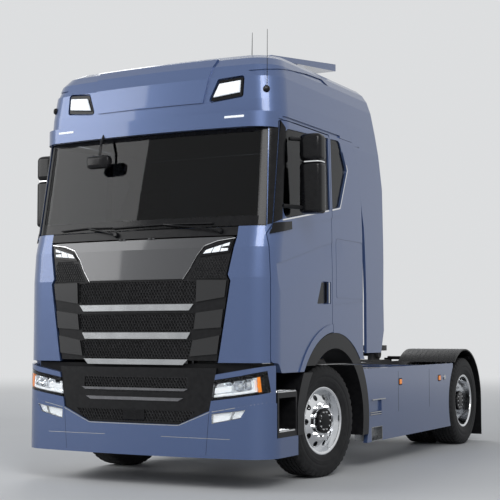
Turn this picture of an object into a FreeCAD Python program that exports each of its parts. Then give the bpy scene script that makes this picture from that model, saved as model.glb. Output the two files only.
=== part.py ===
import FreeCAD, Part
import math
import os
import re
from FreeCAD import Rotation, Vector

# Two-axle semi truck tractor unit with a high-roof sleeper cab that tilts forwards.
# Millimetres, +Z up. The truck faces -Y and its left side is +X. The origin is on the
# ground under the middle of the bounding box. Sizes along the truck are measured from
# the front axle, and are positive towards the rear.

SIZES = {
    # chassis layout
    "wheelbase": 3750,
    "front_overhang": 1400,
    "rear_overhang": 690,
    "body_half_width": 1250,
    "ground": 0,
    # cab envelope
    "cab_setback": 15,
    "cab_rear": 740,
    "cab_base_height": 900,
    "roof_height": 3720,
    "roof_setback": 800,
    "cab_corner_radius": 250,
    "cab_rear_corner_radius": 90,
    "cab_front_bow": 8000,
    "cab_wall": 50,
    "cab_skirt_height": 1045,
    "roof_seam_height": 3100,
    "seam_gap": 8,
    "trim_gap": 0.4,
    "fit_gap": 0.3,
    "overrun": 400,
    # doors and windows
    "door_corner_radius": 30,
    "window_corner_radius": 70,
    "window_frame": 22,
    "flare_proud": 8,
    "handle_depth": 26,
    "handle_bar_width": 55,
    "crease_depth": 11,
    "crease_fade": 240,
    "groove_width": 6,
    "groove_depth": 5,
    "fade_share": 0.1,
    "cut_reach": 100,
    "side_start_share": 0.7,
    "corner_zone_share": 0.2,
    "round_limit_share": 0.45,
    "corner_turn": 45,
    "arch_proud": 6,
    "spoiler_post_share": 0.7,
    "arm_seat_share": 0.985,
    "hub_reach_share": 0.9,
    "through_share": 4,
    "spring_seat_share": 1.4,
    "bead_width_share": 0.8,
    "bead_wall_share": 1.6,
    "tread_edge_share": 0.6,
    "pivot_eye_share": 1.3,
    "drip_height": 34,
    "drip_depth": 14,
    "arch_band_radius": 868,
    "arch_band_proud": 10,
    "handle_corner_radius": 14,
    "handle_bar_thickness": 12,
    "roof_line_height": 50,
    "roof_line_depth": 8,
    # locker lids in the cab's sides
    "locker_corner_radius": 30,
    "glass_inset": 12,
    "glass_thickness": 6,
    "door_hinge_inset": 45,
    "door_hinge_back": 45,
    "door_hinge_low": 1230,
    "door_hinge_high": 1900,
    "door_pin_radius": 5,
    "door_eye_radius": 9,
    "door_eye_height": 24,
    "door_lip": 10,
    "door_pocket_height": 100,
    "door_pocket_back": 22,
    "door_arm_front": 3,
    "door_arm_back": 13,
    "door_arm_inner": 70,
    "door_arm_thickness": 18,
    "door_arm_reach": 90,
    "door_swing_radius": 70,
    "door_clearance": 6,
    "corner_swing_radius": 48,
    # front hatch, grille and windscreen
    "hatch_thickness": 42,
    "grille_recess": 24,
    "slot_depth": 12,
    "hood_edge": 12,
    "hood_middle": 420,
    "hood_middle_height": 80,
    "lamp_seat": 22,
    "bulge_proud": 13,
    "roof_lamp_depth": 34,
    "roof_lamp_recess": 8,
    "roof_lamp_gap": 14,
    "bar_depth": 20,
    "bar_stand_off": 4,
    "hatch_corner_radius": 14,
    "hatch_hinge_back": 40,
    "hatch_hinge_offset": 150,
    "hatch_eye_radius": 5.5,
    "hatch_eye_width": 20,
    "hatch_eye_gap": 0.5,
    "hatch_pin_radius": 2.5,
    # roof fittings
    "visor_front": 70,
    "visor_width": 1212,
    "visor_bottom": 3020,
    "visor_height": 130,
    "visor_rear": -1010,
    "visor_wall": 26,
    "deflector_thickness": 28,
    "deflector_length": 560,
    "deflector_inner_x": 905,
    "spoiler_half_width": 900,
    "spoiler_front": -560,
    "spoiler_rear": 840,
    "spoiler_front_height": 3730,
    "spoiler_rear_height": 3960,
    "spoiler_thickness": 70,
    "spoiler_post_length": 500,
    "spoiler_post_width": 40,
    # cab inside
    "floor_height": 1430,
    "floor_thickness": 40,
    "bulkhead_front": -1240,
    "bulkhead_thickness": 40,
    "bulkhead_bottom": 1150,
    "dash_top": 2110,
    "dash_bottom": 1800,
    "dash_rear": -800,
    "dash_radius": 60,
    "seat_offset": 620,
    "seat_width": 520,
    "seat_base_width": 380,
    "seat_front": -480,
    "seat_rear": 30,
    "seat_height": 1930,
    "seat_cushion_thickness": 130,
    "seat_back_thickness": 130,
    "seat_back_height": 780,
    "bunk_front": 60,
    "bunk_height": 1900,
    "bunk_thickness": 130,
    "bunk_half_length": 1000,
    "steering_wheel_radius": 225,
    "steering_wheel_rim": 16,
    "steering_wheel_height": 2200,
    "steering_wheel_from_axle": -660,
    "steering_wheel_tilt": 35,
    "steering_column_radius": 35,
    "steering_column_length": 300,
    "steering_hub_radius": 70,
    "steering_hub_depth": 40,
    # cab tilt
    "tilt_pivot_ahead": 1310,
    "tilt_pivot_height": 930,
    "cab_pivot_radius": 16,
    "pivot_eye_radius": 30,
    "pivot_arm_gap": 6,
    "pivot_arm_thickness": 30,
    "pivot_arm_half_width": 18,
    "pivot_knee_back": 115,
    "pivot_knee_up": 75,
    "bridge_from_axle": 560,
    "bridge_width": 80,
    # bumper, lamps and lower grille
    "bumper_bottom": 265,
    "bumper_corner_top": 715,
    "bumper_thickness": 60,
    "bumper_rear": -754,
    "chassis_front_top": 1000,
    "chassis_corner_radius": 255,
    "lamp_thickness": 70,
    "lamp_rear": -1150,
    "fog_depth": 40,
    "lower_grille_depth": 40,
    # steps and arches
    "step_front": -1135,
    "step_rear": -775,
    "step_depth": 240,
    "step_low": 430,
    "step_high": 755,
    "tread_thickness": 45,
    "step_wall": 24,
    "arch_outer_radius": 790,
    "arch_inner_radius": 650,
    "arch_width": 270,
    "arch_split_front": 950,
    "arch_split_rear": 1000,
    "arch_bottom": 330,
    # side skirts
    "skirt_front": 660,
    "skirt_bracket_width": 60,
    "skirt_bracket_thickness": 12,
    "skirt_rear": 3300,
    "skirt_bottom": 245,
    "skirt_top": 950,
    "skirt_thickness": 40,
    "skirt_step_front": 819,
    "skirt_step_rear": 1122,
    "skirt_step_bottom": 495,
    "skirt_step_top": 647,
    "outlet_front": 863,
    "outlet_rear": 1142,
    "outlet_bottom": 250,
    "outlet_height": 135,
    "outlet_wall": 6,
    "outlet_depth": 180,
    # frame
    "rail_outer": 430,
    "rail_height": 270,
    "rail_flange": 80,
    "rail_thickness": 9,
    "rail_top": 960,
    "crossmember_width": 120,
    "crossmember_height": 150,
    "mount_length": 60,
    "mount_height": 790,
    # front axle
    "front_track_half": 1020,
    "kingpin_offset": 890,
    "kingpin_radius": 28,
    "kingpin_half_height": 150,
    "kingpin_clearance": 0.4,
    "beam_width": 90,
    "beam_height": 110,
    "beam_drop": 90,
    "beam_boss_radius": 58,
    "beam_boss_half_height": 75,
    "yoke_thickness": 40,
    "yoke_gap": 6,
    "spindle_radius": 40,
    "steer_at_rest": 9.1,
    "arm_length": 150,
    "arm_width": 50,
    "beam_end_relief": 97,
    "rod_radius": 22,
    "rod_pin_radius": 14,
    "rod_eye_radius": 30,
    "rod_eye_height": 40,
    "spring_offset": 400,
    "spring_width": 70,
    "spring_half_length": 780,
    "spring_thickness": 50,
    # rear axle
    "rear_axle_radius": 75,
    "differential_radius": 220,
    "differential_width": 360,
    "twin_inner_x": 740,
    "twin_outer_x": 1085,
    "air_spring_radius": 130,
    "air_spring_offset": 380,
    # wheels
    "tyre_radius": 502,
    "tyre_width": 312,
    "tyre_shoulder": 55,
    "rim_radius": 292,
    "rim_wall": 12,
    "rim_width": 250,
    "disc_thickness": 16,
    "disc_inset_front": 100,
    "disc_dish": 50,
    "disc_flat_radius": 170,
    "hand_hole_count": 10,
    "hand_hole_radius": 26,
    "hand_hole_circle": 215,
    "hub_radius": 110,
    "hub_length": 150,
    "hub_bore_clearance": 0.5,
    # engine and tanks
    "engine_half_width": 340,
    "engine_front": -900,
    "engine_rear": 330,
    "engine_bottom": 640,
    "engine_top": 1380,
    "radiator_front": -1130,
    "radiator_rear": -960,
    "radiator_bottom": 560,
    "radiator_top": 1340,
    "tank_front": 1200,
    "tank_rear": 2850,
    "tank_outer": 1180,
    "tank_inner": 560,
    "tank_bottom": 300,
    "tank_top": 900,
    "tank_edge_radius": 90,
    # fifth wheel
    "fifth_wheel_from_axle": 3170,
    "fifth_wheel_height": 1150,
    "fifth_wheel_thickness": 60,
    "fifth_wheel_radius": 460,
    "kingpin_bore_radius": 25.7,
    "throat_half_width": 190,
    "throat_start_share": 0.8,
    "throat_start": 12,
    "pedestal_offset": 330,
    "pedestal_width": 60,
    "pedestal_length": 220,
    "pivot_height": 1050,
    "pivot_radius": 25,
    "lug_thickness": 40,
    "lug_gap": 6,
    "base_plate_thickness": 20,
    "base_plate_length": 540,
    # rear fenders and tail
    "fender_radius": 605,
    "fender_thickness": 14,
    "fender_inner": 560,
    "fender_front_height": 960,
    "fender_tube_offset": 280,
    "fender_tube_radius": 20,
    "flap_bottom": 70,
    "flap_thickness": 10,
    "tail_half_width": 500,
    "tail_bottom": 640,
    "tail_height": 160,
    "tail_depth": 80,
    # mirrors
    "mirror_out": 1295,
    "mirror_width": 205,
    "mirror_depth": 160,
    "mirror_from_axle": -765,
    "mirror_bottom": 2300,
    "mirror_split": 2735,
    "mirror_top": 2985,
    "mirror_arm_radius": 18,
    "mirror_corner_radius": 50,
}

# The cab's plan at rising heights: height, set-back, half width and inset drop shares.
LEVEL_SHARES = [
    (0.000, 0.000, 1.000, 0.00),
    (0.300, 0.000, 1.000, 0.00),
    (0.390, 0.025, 1.000, 0.00),
    (0.450, 0.080, 0.998, 0.00),
    (0.762, 0.262, 0.980, 0.00),
    (0.840, 0.268, 0.966, 0.00),
    (0.911, 0.300, 0.948, 0.10),
    (0.950, 0.350, 0.924, 0.35),
    (0.975, 0.430, 0.890, 0.65),
    (0.992, 0.560, 0.845, 0.85),
    (1.000, 0.760, 0.780, 1.00),
]

# Side outlines as shares of the cab's length from its front, and of its height.
DOOR_SHARES = [
    (0.150, 0.0195), (0.128, 0.0475), (0.0885, 0.0514), (0.0885, 0.429), (0.115, 0.457),
    (0.188, 0.7766), (0.633, 0.7766), (0.633, 0.036), (0.369, 0.0195),
]
GLAZING_SHARES = [
    (0.162, 0.475), (0.600, 0.532), (0.718, 0.548), (0.806, 0.677), (0.739, 0.770), (0.215, 0.752),
]
FLARE_SHARES = [
    (0.092, 0.434), (0.561, 0.4965), (0.7605, 0.5287), (0.840, 0.5585), (0.873, 0.635), (0.880, 0.735),
    (0.300, 0.735), (0.300, 0.600), (0.130, 0.500),
]
HANDLE_SHARES = [(0.478, 0.227), (0.619, 0.231), (0.619, 0.301), (0.525, 0.301)]
LOCKER_SHARES = [(0.674, 0.250), (0.965, 0.250), (0.965, 0.444), (0.674, 0.444)]
CREASE_SHARES = [(0.060, 0.331), (0.560, 0.418), (0.768, 0.443)]
ROOF_LINE_SHARES = [(0.148, 0.912), (0.308, 0.929), (0.501, 0.945), (0.652, 0.950), (0.758, 0.950),
                    (0.823, 0.943)]
SEAM_SHARES = [[(0.644, 0.2277), (1.100, 0.2511)], [(0.911, 0.7670), (1.100, 0.7801)]]
DEFLECTOR_SHARES = [
    (1.006, 0.071), (1.006, 0.266), (0.989, 0.495), (0.971, 0.554), (0.929, 0.708),
    (0.839, 0.845), (0.762, 0.918), (0.622, 0.986), (0.622, 1.030), (1.106, 1.030),
    (1.186, 0.780), (1.225, 0.645), (1.212, 0.254), (1.216, 0.149), (1.180, 0.071),
]

# Front outlines as shares of the half width and of the cab's height.
HATCH_SHARES = [(0.760, 0.422), (0.709, 0.308), (0.729, 0.291), (0.641, 0.0514)]
HOOD_SHARES = [
    (0.760, 0.422), (0.627, 0.4117), (0.536, 0.398), (0.482, 0.3688), (0.434, 0.3306), (0.384, 0.2984),
]
WINDSCREEN_SHARES = [(0.938, 0.4521), (0.900, 0.7790)]
COWL_SHARES = [(0.762, 0.4250), (0.762, 0.4500)]
ROOF_LAMP_SHARES = [(0.487, 0.840), (0.722, 0.851), (0.722, 0.910), (0.544, 0.904)]
BAR_SHARES = [
    [(0.464, 0.2238), (0.430, 0.2050)], [(0.441, 0.1399), (0.415, 0.1208)],
    [(0.422, 0.0600), (0.386, 0.0440)],
]
FIN_SHARES = [
    [(0.488, 0.2945), (0.705, 0.2925), (0.690, 0.2430), (0.482, 0.2296)],
    [(0.482, 0.1972), (0.680, 0.2080), (0.665, 0.1545), (0.467, 0.1490)],
    [(0.460, 0.1161), (0.655, 0.1312), (0.637, 0.0771), (0.435, 0.0691)],
]
SLOT_SHARES = [
    [(0.388, 0.2925), (0.476, 0.2900), (0.474, 0.2390), (0.448, 0.2275)],
    [(0.470, 0.1972), (0.460, 0.1531), (0.438, 0.1435)],
    [(0.448, 0.1161), (0.430, 0.0750), (0.412, 0.0612)],
]
LOWER_SLOT_SHARES = [[(0.410, 0.915), (0.415, 0.835), (0.375, 0.805)], [(0.480, 0.642), (0.405, 0.550)]]
BUMPER_SHARES = [
    (1.400, 0.265), (1.400, 1.030), (0.979, 1.022), (0.632, 0.948), (0.588, 0.650), (0.362, 0.530),
]
LAMP_SHARES = [
    (0.622, 0.903), (0.813, 0.941), (0.962, 0.981), (0.977, 0.805), (0.923, 0.789), (0.766, 0.760),
    (0.610, 0.738),
]
LAMP_OPENING_SHARES = [
    (0.500, 0.880), (0.813, 0.941), (0.962, 0.981), (0.977, 0.805), (0.923, 0.789), (0.766, 0.760),
    (0.500, 0.716),
]
FOG_SHARES = [(0.605, 0.628), (0.773, 0.653), (0.844, 0.668), (0.805, 0.596), (0.605, 0.545)]
UPPER_LAMP_SHARES = [(0.500, 0.363), (0.548, 0.388), (0.635, 0.4025), (0.742, 0.413), (0.715, 0.3735)]
BULGE_SHARES = [(0.495, 0.978), (0.436, 0.837)]

document = FreeCAD.newDocument("TractorUnit")
sheet = document.addObject("Spreadsheet::Sheet", "Sizes")
for row, (alias, value) in enumerate(SIZES.items(), start=1):
    sheet.set(f"A{row}", alias)
    sheet.set(f"B{row}", str(value))
    sheet.setAlias(f"B{row}", alias)
document.recompute()


class Values:
    """The sheet's values, one attribute for each alias."""


size = Values()
for alias in SIZES:
    setattr(size, alias, float(sheet.get(alias)))

# Places that follow from the sizes, for expressions and for code.
PLACES = {
    "frame_start": "(front_axle - front_overhang + lower_grille_depth + rail_outer ^ 2 / (2 * cab_front_bow) + fit_gap)",
    "frame_end": "(rear_axle + rear_overhang - tail_depth - fit_gap)",
    "front_axle": "((front_overhang - wheelbase - rear_overhang) / 2)",
    "rear_axle": "((front_overhang + wheelbase - rear_overhang) / 2)",
}
front_axle = (size.front_overhang - size.wheelbase - size.rear_overhang) / 2
rear_axle = front_axle + size.wheelbase
cab_front = front_axle - size.front_overhang + size.cab_setback
cab_rear = front_axle + size.cab_rear
cab_length = cab_rear - cab_front
cab_height = size.roof_height - size.cab_base_height
ORIGIN = Vector(0, 0, 0)
FULL_TURN = 360
AXIS_X = Vector(1, 0, 0)
AXIS_Y = Vector(0, 1, 0)
AXIS_Z = Vector(0, 0, 1)

nodes = {}


def expression(text):
    """Write a formula of aliases as the sheet's own expression."""
    for place, formula in PLACES.items():
        text = re.sub(rf"\b{place}\b", formula, text)
    return re.sub(r"\b[a-z][a-z_]+\b", lambda word: sheet_word(word.group()), text)


def sheet_word(word):
    """Point an alias at the sheet and leave other words alone."""
    return f"Sizes.{word}" if word in SIZES else word


def primitive(kind, name, at, turn=None, **sizes):
    """A Part primitive whose sizes and place are bound to the sheet."""
    thing = document.addObject(f"Part::{kind}", name)
    if turn:
        thing.Placement.Rotation = Rotation(*turn)
    for key, text in sizes.items():
        thing.setExpression(key, expression(text))
    for axis, text in zip("xyz", at):
        thing.setExpression(f"Placement.Base.{axis}", expression(text))
    return thing


def box(name, x, y, z):
    """A box between pairs of formulas."""
    return primitive(
        "Box", name, (x[0], y[0], z[0]),
        Length=f"({x[1]}) - ({x[0]})", Width=f"({y[1]}) - ({y[0]})", Height=f"({z[1]}) - ({z[0]})",
    )


def across(name, radius, x, y, z):
    """A cylinder that lies along X between two formulas."""
    return primitive(
        "Cylinder", name, (x[0], y, z), turn=(AXIS_Y, 90),
        Radius=radius, Height=f"({x[1]}) - ({x[0]})",
    )


def fuse(name, things):
    """Join several objects into one."""
    joined = document.addObject("Part::MultiFuse", name)
    joined.Shapes = things
    joined.Refine = True
    return joined


def cut(name, base, tool):
    """Take one object out of another."""
    rest = document.addObject("Part::Cut", name)
    rest.Base = base
    rest.Tool = tool
    return rest


def mirrored(name, source):
    """The same piece on the truck's other side."""
    twin = document.addObject("Part::Mirroring", name)
    twin.Source = source
    twin.Normal = AXIS_X
    return twin


def keep(name, thing):
    """Make an object one of the truck's pieces."""
    thing.Label = name
    nodes[name] = thing


def keep_shape(name, shape):
    """Make a computed shape one of the truck's pieces."""
    feature = document.addObject("Part::Feature", name)
    feature.Shape = shape
    keep(name, feature)


def keep_pair(name, shape):
    """Make a left piece and its mirror image on the right."""
    keep_shape(f"{name}_left", shape)
    keep_shape(f"{name}_right", flipped(shape))


def keep_both(name, shape):
    """Make one piece of a left shape and its mirror image, which lie apart."""
    keep_shape(name, Part.makeCompound([shape, flipped(shape)]))


def flipped(shape):
    """Mirror a shape across the truck's middle plane."""
    return shape.mirror(ORIGIN, AXIS_X)


def rounded(points, radius, place):
    """A face whose outline runs through the points with its corners rounded."""
    if not radius:
        spots = [place(*point) for point in points]
        return Part.Face(Part.makePolygon(spots + spots[:1]))
    flat = [Vector(first, second, 0) for first, second in points]
    arcs = []
    for index, here in enumerate(flat):
        back = flat[index - 1] - here
        ahead = flat[(index + 1) % len(flat)] - here
        reach_limit = min(back.Length, ahead.Length) * size.round_limit_share
        half = back.getAngle(ahead) / 2
        reach = min(radius / math.tan(half), reach_limit)
        back.normalize()
        ahead.normalize()
        inward = back + ahead
        inward.normalize()
        tip = here + inward * (reach / math.cos(half) - reach * math.tan(half))
        arcs.append([here + back * reach, tip, here + ahead * reach])
    edges = []
    for index, (start, tip, end) in enumerate(arcs):
        spots = [place(spot.x, spot.y) for spot in (start, tip, end)]
        edges.append(Part.Arc(*spots).toShape())
        following = arcs[(index + 1) % len(arcs)][0]
        edges.append(Part.makeLine(spots[2], place(following.x, following.y)))
    return Part.Face(Part.Wire(edges))


def side_block(points, low_x, high_x, radius=0, grow=0):
    """A block with a side-view outline, grown or shrunk all round."""
    face = rounded(points, radius, lambda along, up: Vector(low_x, along, up))
    if grow:
        face = face.makeOffset2D(grow)
    return face.extrude(AXIS_X * (high_x - low_x))


def front_block(points, low_y, high_y, radius=0, grow=0):
    """A block with a front-view outline, grown or shrunk all round."""
    face = rounded(points, radius, lambda out, up: Vector(out, low_y, up))
    if grow:
        face = face.makeOffset2D(grow)
    return face.extrude(AXIS_Y * (high_y - low_y))


def plain_box(x, y, z):
    """A box between pairs of values."""
    corner = Vector(x[0], y[0], z[0])
    return Part.makeBox(x[1] - x[0], y[1] - y[0], z[1] - z[0], corner)


def side_points(shares):
    """Places on the cab's side from shares of its length and height."""
    return [(cab_front + along * cab_length, size.cab_base_height + up * cab_height) for along,
            up in shares]


def front_points(shares):
    """Places on the cab's front from shares of its half width and height."""
    return [(out * size.body_half_width, size.cab_base_height + up * cab_height) for out, up in shares]


def both_sides(points):
    """Close a front outline over the middle with its mirror image."""
    return points + [(-out, up) for out, up in reversed(points)]


def plan_wire(front, rear, half_width, corner, rear_corner, bow, height):
    """The outline seen from above: bowed front, round corners and straight sides."""
    corner_x = half_width - corner
    corner_y = front + bow - math.sqrt((bow - corner) ** 2 - corner_x ** 2)
    toward_x = corner_x / (bow - corner)
    toward_y = (corner_y - front - bow) / (bow - corner)
    touch = (corner_x + corner * toward_x, corner_y + corner * toward_y)
    middle_angle = math.atan2(toward_y, toward_x) / 2
    middle = (corner_x + corner * math.cos(middle_angle), corner_y + corner * math.sin(middle_angle))
    rear_x = half_width - rear_corner
    rear_y = rear - rear_corner
    slant = rear_corner * math.cos(math.radians(size.corner_turn))
    right = [touch, middle, (half_width, corner_y), (half_width, rear_y), (rear_x + slant, rear_y + slant),
             (rear_x, rear)]
    here = [Vector(x, y, height) for x, y in right]
    there = [Vector(-x, y, height) for x, y in right]
    nose = Vector(0, front, height)
    edges = [
        Part.Arc(there[0], nose, here[0]).toShape(),
        Part.Arc(here[0], here[1], here[2]).toShape(),
        Part.makeLine(here[2], here[3]),
        Part.Arc(here[3], here[4], here[5]).toShape(),
        Part.makeLine(here[5], there[5]),
        Part.Arc(there[5], there[4], there[3]).toShape(),
        Part.makeLine(there[3], there[2]),
        Part.Arc(there[2], there[1], there[0]).toShape(),
    ]
    return Part.Wire(edges)


def envelope(inset, lengthened=0):
    """The cab's outer form, drawn in by an inset and lengthened at the rear."""
    wires = []
    for up, back, wide, drop in LEVEL_SHARES:
        wires.append(plan_wire(
            cab_front + back * size.roof_setback + inset,
            cab_rear + lengthened - inset,
            wide * size.body_half_width - inset,
            size.cab_corner_radius - inset,
            size.cab_rear_corner_radius - inset,
            size.cab_front_bow - inset,
            size.cab_base_height + up * cab_height - drop * inset,
        ))
    return Part.makeLoft(wires, True, True)


def skin(outer_inset, inner_inset, lengthened=0):
    """The layer of the cab's form between two insets."""
    return envelope(outer_inset, lengthened).cut(envelope(inner_inset, lengthened))


# Regions of the cab
reach = size.body_half_width + size.overrun
mid_y = (cab_front + cab_rear) / 2
half_gap = size.seam_gap / 2
wall = skin(0, size.cab_wall)
door_points = side_points(DOOR_SHARES)
door_front = min(along for along, up in door_points)
door_rear = max(along for along, up in door_points)
wheel_centre = Vector(0, front_axle, size.tyre_radius)
arch_space = Part.makeCylinder(size.arch_outer_radius + size.fit_gap, 2 * reach,
                               wheel_centre - AXIS_X * reach, AXIS_X)
door_arch_space = Part.makeCylinder(size.arch_outer_radius + size.seam_gap, 2 * reach,
                                    wheel_centre - AXIS_X * reach, AXIS_X)
above_skirt = plain_box((-reach, reach), (cab_front - reach, cab_rear + reach),
                        (size.cab_skirt_height, size.roof_seam_height - half_gap / 2))
above_roof_seam = plain_box((-reach, reach), (cab_front - reach, cab_rear + reach),
                            (size.roof_seam_height + half_gap / 2, size.roof_height + size.overrun))
deflector_block = side_block(side_points(DEFLECTOR_SHARES), size.deflector_inner_x, reach)
deflector_cut = side_block(side_points(DEFLECTOR_SHARES), size.deflector_inner_x - size.trim_gap, reach,
                           grow=size.trim_gap)
deflector_bed = deflector_cut.common(skin(-size.cut_reach, size.deflector_thickness + size.trim_gap))
deflector_beds = deflector_bed.fuse(flipped(deflector_bed))

# Doors, with their windows cut and their glass
door_block = side_block(door_points, size.body_half_width * size.side_start_share, reach,
                        size.door_corner_radius, -half_gap)
door_space = side_block(door_points, size.body_half_width * size.side_start_share, reach,
                        size.door_corner_radius, half_gap)
glazing_points = side_points(GLAZING_SHARES)
glazing = side_block(glazing_points, 0, reach, size.window_corner_radius)
glazing_inner = side_block(glazing_points, 0, reach, size.window_corner_radius, -size.fit_gap)
front_pillar = door_rear - half_gap - size.window_frame
rear_pillar = door_rear + half_gap + size.window_frame


def glazed(block, low_y, high_y):
    """The part of a glazing block between two places along the cab."""
    return block.common(plain_box((0, reach), (low_y, high_y), (size.ground, size.roof_height)))


def crease_end(along, up, depth):
    """A wedge's outline at one place: deepest at the line and fading out below it."""
    out = size.body_half_width
    spots = [Vector(out + size.fit_gap, along, up), Vector(out - depth, along, up - size.fit_gap),
             Vector(out + size.fit_gap, along, up - size.crease_fade)]
    return Part.makePolygon(spots + spots[:1])


crease_spots = side_points(CREASE_SHARES)
crease_depths = (size.crease_depth, size.crease_depth, size.groove_depth * size.fade_share)
crease = Part.makeLoft([crease_end(*spot, depth) for spot, depth in zip(crease_spots, crease_depths)],
                       True, True)
flare_layer = skin(-size.flare_proud, size.door_lip)
flare = flare_layer.common(side_block(side_points(FLARE_SHARES), 0, reach,
                                      size.door_corner_radius)).cut(glazing)
arch_band = Part.makeCylinder(size.arch_band_radius, size.arch_band_proud + size.door_lip,
                              wheel_centre + AXIS_X * (size.body_half_width - size.door_lip), AXIS_X)
door_glazing = glazed(glazing, cab_front, front_pillar)
quarter_glazing = glazed(glazing, rear_pillar, cab_rear)
handle_points = side_points(HANDLE_SHARES)
handle_block = side_block(handle_points, 0, reach, size.handle_corner_radius)
handle_rear = max(along for along, up in handle_points)
handle_bar = skin(0, size.handle_bar_thickness).common(side_block(handle_points, 0, reach).common(
    plain_box((0, reach), (handle_rear - size.handle_bar_width, handle_rear - size.handle_bar_width / 2),
              (size.ground, size.roof_height))))
door = wall.fuse([flare, arch_band]).common(door_block).cut(door_glazing).cut(door_arch_space).cut(crease)
door = door.cut(skin(-size.flare_proud, size.handle_depth).common(handle_block)).fuse(handle_bar)
hinge_line = Vector(size.body_half_width - size.door_hinge_inset, door_front + size.door_hinge_back, 0)


def on_hinge(radius, low, high):
    """An upright cylinder on the door's hinge line."""
    return Part.makeCylinder(radius, high - low, hinge_line + AXIS_Z * low)


pockets = []
pins = []
brackets = []
bracket_rooms = []
door_inner = skin(size.door_lip, size.cab_wall + size.trim_gap)
for level in (size.door_hinge_low, size.door_hinge_high):
    pocket_z = (level - size.door_pocket_height / 2, level + size.door_pocket_height / 2)
    eye_z = (level - size.door_eye_height / 2, level + size.door_eye_height / 2)
    pockets.append(door_inner.common(plain_box((0, reach),
                                               (cab_front, hinge_line.y + size.door_pocket_back),
                                               pocket_z)))
    pins.append(on_hinge(size.door_pin_radius, pocket_z[0] - size.door_pin_radius,
                         pocket_z[1] + size.door_pin_radius))
    pins.append(on_hinge(size.door_eye_radius, pocket_z[0] - size.door_pin_radius,
                         eye_z[0] - size.door_clearance))
    pins.append(on_hinge(size.door_eye_radius, eye_z[1] + size.door_clearance,
                         pocket_z[1] + size.door_pin_radius))
    arm_x = (hinge_line.x - size.door_arm_inner,
             hinge_line.x - size.door_arm_inner + size.door_arm_thickness)
    arm = plain_box((arm_x[0], hinge_line.x),
                    (hinge_line.y - size.door_arm_front, hinge_line.y + size.door_arm_back), eye_z)
    plate = plain_box(arm_x, (hinge_line.y - size.door_arm_reach, hinge_line.y + size.door_arm_back), eye_z)
    bracket = arm.fuse([plate, on_hinge(size.door_eye_radius, *eye_z)])
    brackets.append(bracket.cut(on_hinge(size.door_pin_radius + size.kingpin_clearance, *eye_z)))
    bracket_rooms.append(plain_box(
        (arm_x[0] - size.door_clearance, reach),
        (hinge_line.y - size.door_arm_reach - size.door_clearance,
         hinge_line.y + size.door_arm_back + size.door_clearance),
        (eye_z[0] - size.door_clearance, eye_z[1] + size.door_clearance)))
door = door.cut(Part.makeCompound(pockets)).fuse(pins).removeSplitter()
keep_pair("door", door)
panes = skin(size.glass_inset, size.glass_inset + size.glass_thickness)
keep_pair("door_glass", panes.common(glazed(glazing_inner, cab_front, front_pillar - size.fit_gap)))
keep_both("quarter_windows", panes.common(glazed(glazing_inner, rear_pillar + size.fit_gap, cab_rear)))

# Cab walls: sides behind the doors, rear wall, roof and front corners
inner_rear = cab_rear - size.cab_wall
side_zone = plain_box((0, reach), (door_rear, inner_rear), (size.ground, size.roof_height))
side = wall.fuse([flare, arch_band]).common(above_skirt).common(side_zone).cut(door_space).cut(arch_space)
side = side.cut(quarter_glazing).cut(crease).cut(deflector_beds)
groove_layer = skin(-size.fit_gap, size.groove_depth)
locker_points = side_points(LOCKER_SHARES)
locker_ring = side_block(locker_points, 0, reach, size.locker_corner_radius)
locker_ring = locker_ring.cut(side_block(locker_points, 0, reach, size.locker_corner_radius,
                                         -size.groove_width))
seams = [groove_layer.common(locker_ring)]
for (start_y, start_z), (end_y, end_z) in [side_points(shares) for shares in SEAM_SHARES]:
    seams.append(groove_layer.common(side_block([
        (start_y, start_z), (end_y, end_z), (end_y, end_z + size.groove_width),
        (start_y, start_z + size.groove_width),
    ], 0, reach)))
seams = Part.makeCompound(seams)
keep_pair("cab_side", side.cut(seams))
rear_zone = plain_box((-reach, reach), (inner_rear + size.fit_gap, cab_rear + reach),
                      (size.ground, size.roof_height))
keep_shape("cab_rear_wall", envelope(0).common(above_skirt.common(rear_zone)).cut(deflector_beds))
bulge = skin(-size.bulge_proud, size.cab_wall / 2).common(above_roof_seam).common(
    front_block(both_sides(front_points(BULGE_SHARES)), cab_front - reach, mid_y))
lamp_face_points = front_points(ROOF_LAMP_SHARES)
lamp_pocket = skin(-2 * size.bulge_proud, size.roof_lamp_depth).common(
    front_block(lamp_face_points, cab_front - reach, mid_y, size.hatch_corner_radius, size.roof_lamp_gap))
line_points = side_points(ROOF_LINE_SHARES)
line_strip = side_block(line_points + [(along, up + size.roof_line_height) for along,
                                       up in reversed(line_points)], 0, reach)
roof_groove = skin(-size.fit_gap, size.roof_line_depth).common(line_strip)
drip_low = size.roof_seam_height - size.seam_gap
drip = skin(-size.fit_gap, size.drip_depth).common(plain_box(
    (0, reach), (door_front + size.cab_corner_radius, door_rear + size.cab_corner_radius),
    (drip_low, drip_low + size.drip_height)))
roof_cuts = Part.makeCompound([lamp_pocket, roof_groove, drip])
keep_shape("cab_roof",
           wall.common(above_roof_seam).fuse(bulge).cut(roof_cuts).cut(flipped(roof_cuts)).cut(deflector_beds))

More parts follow.
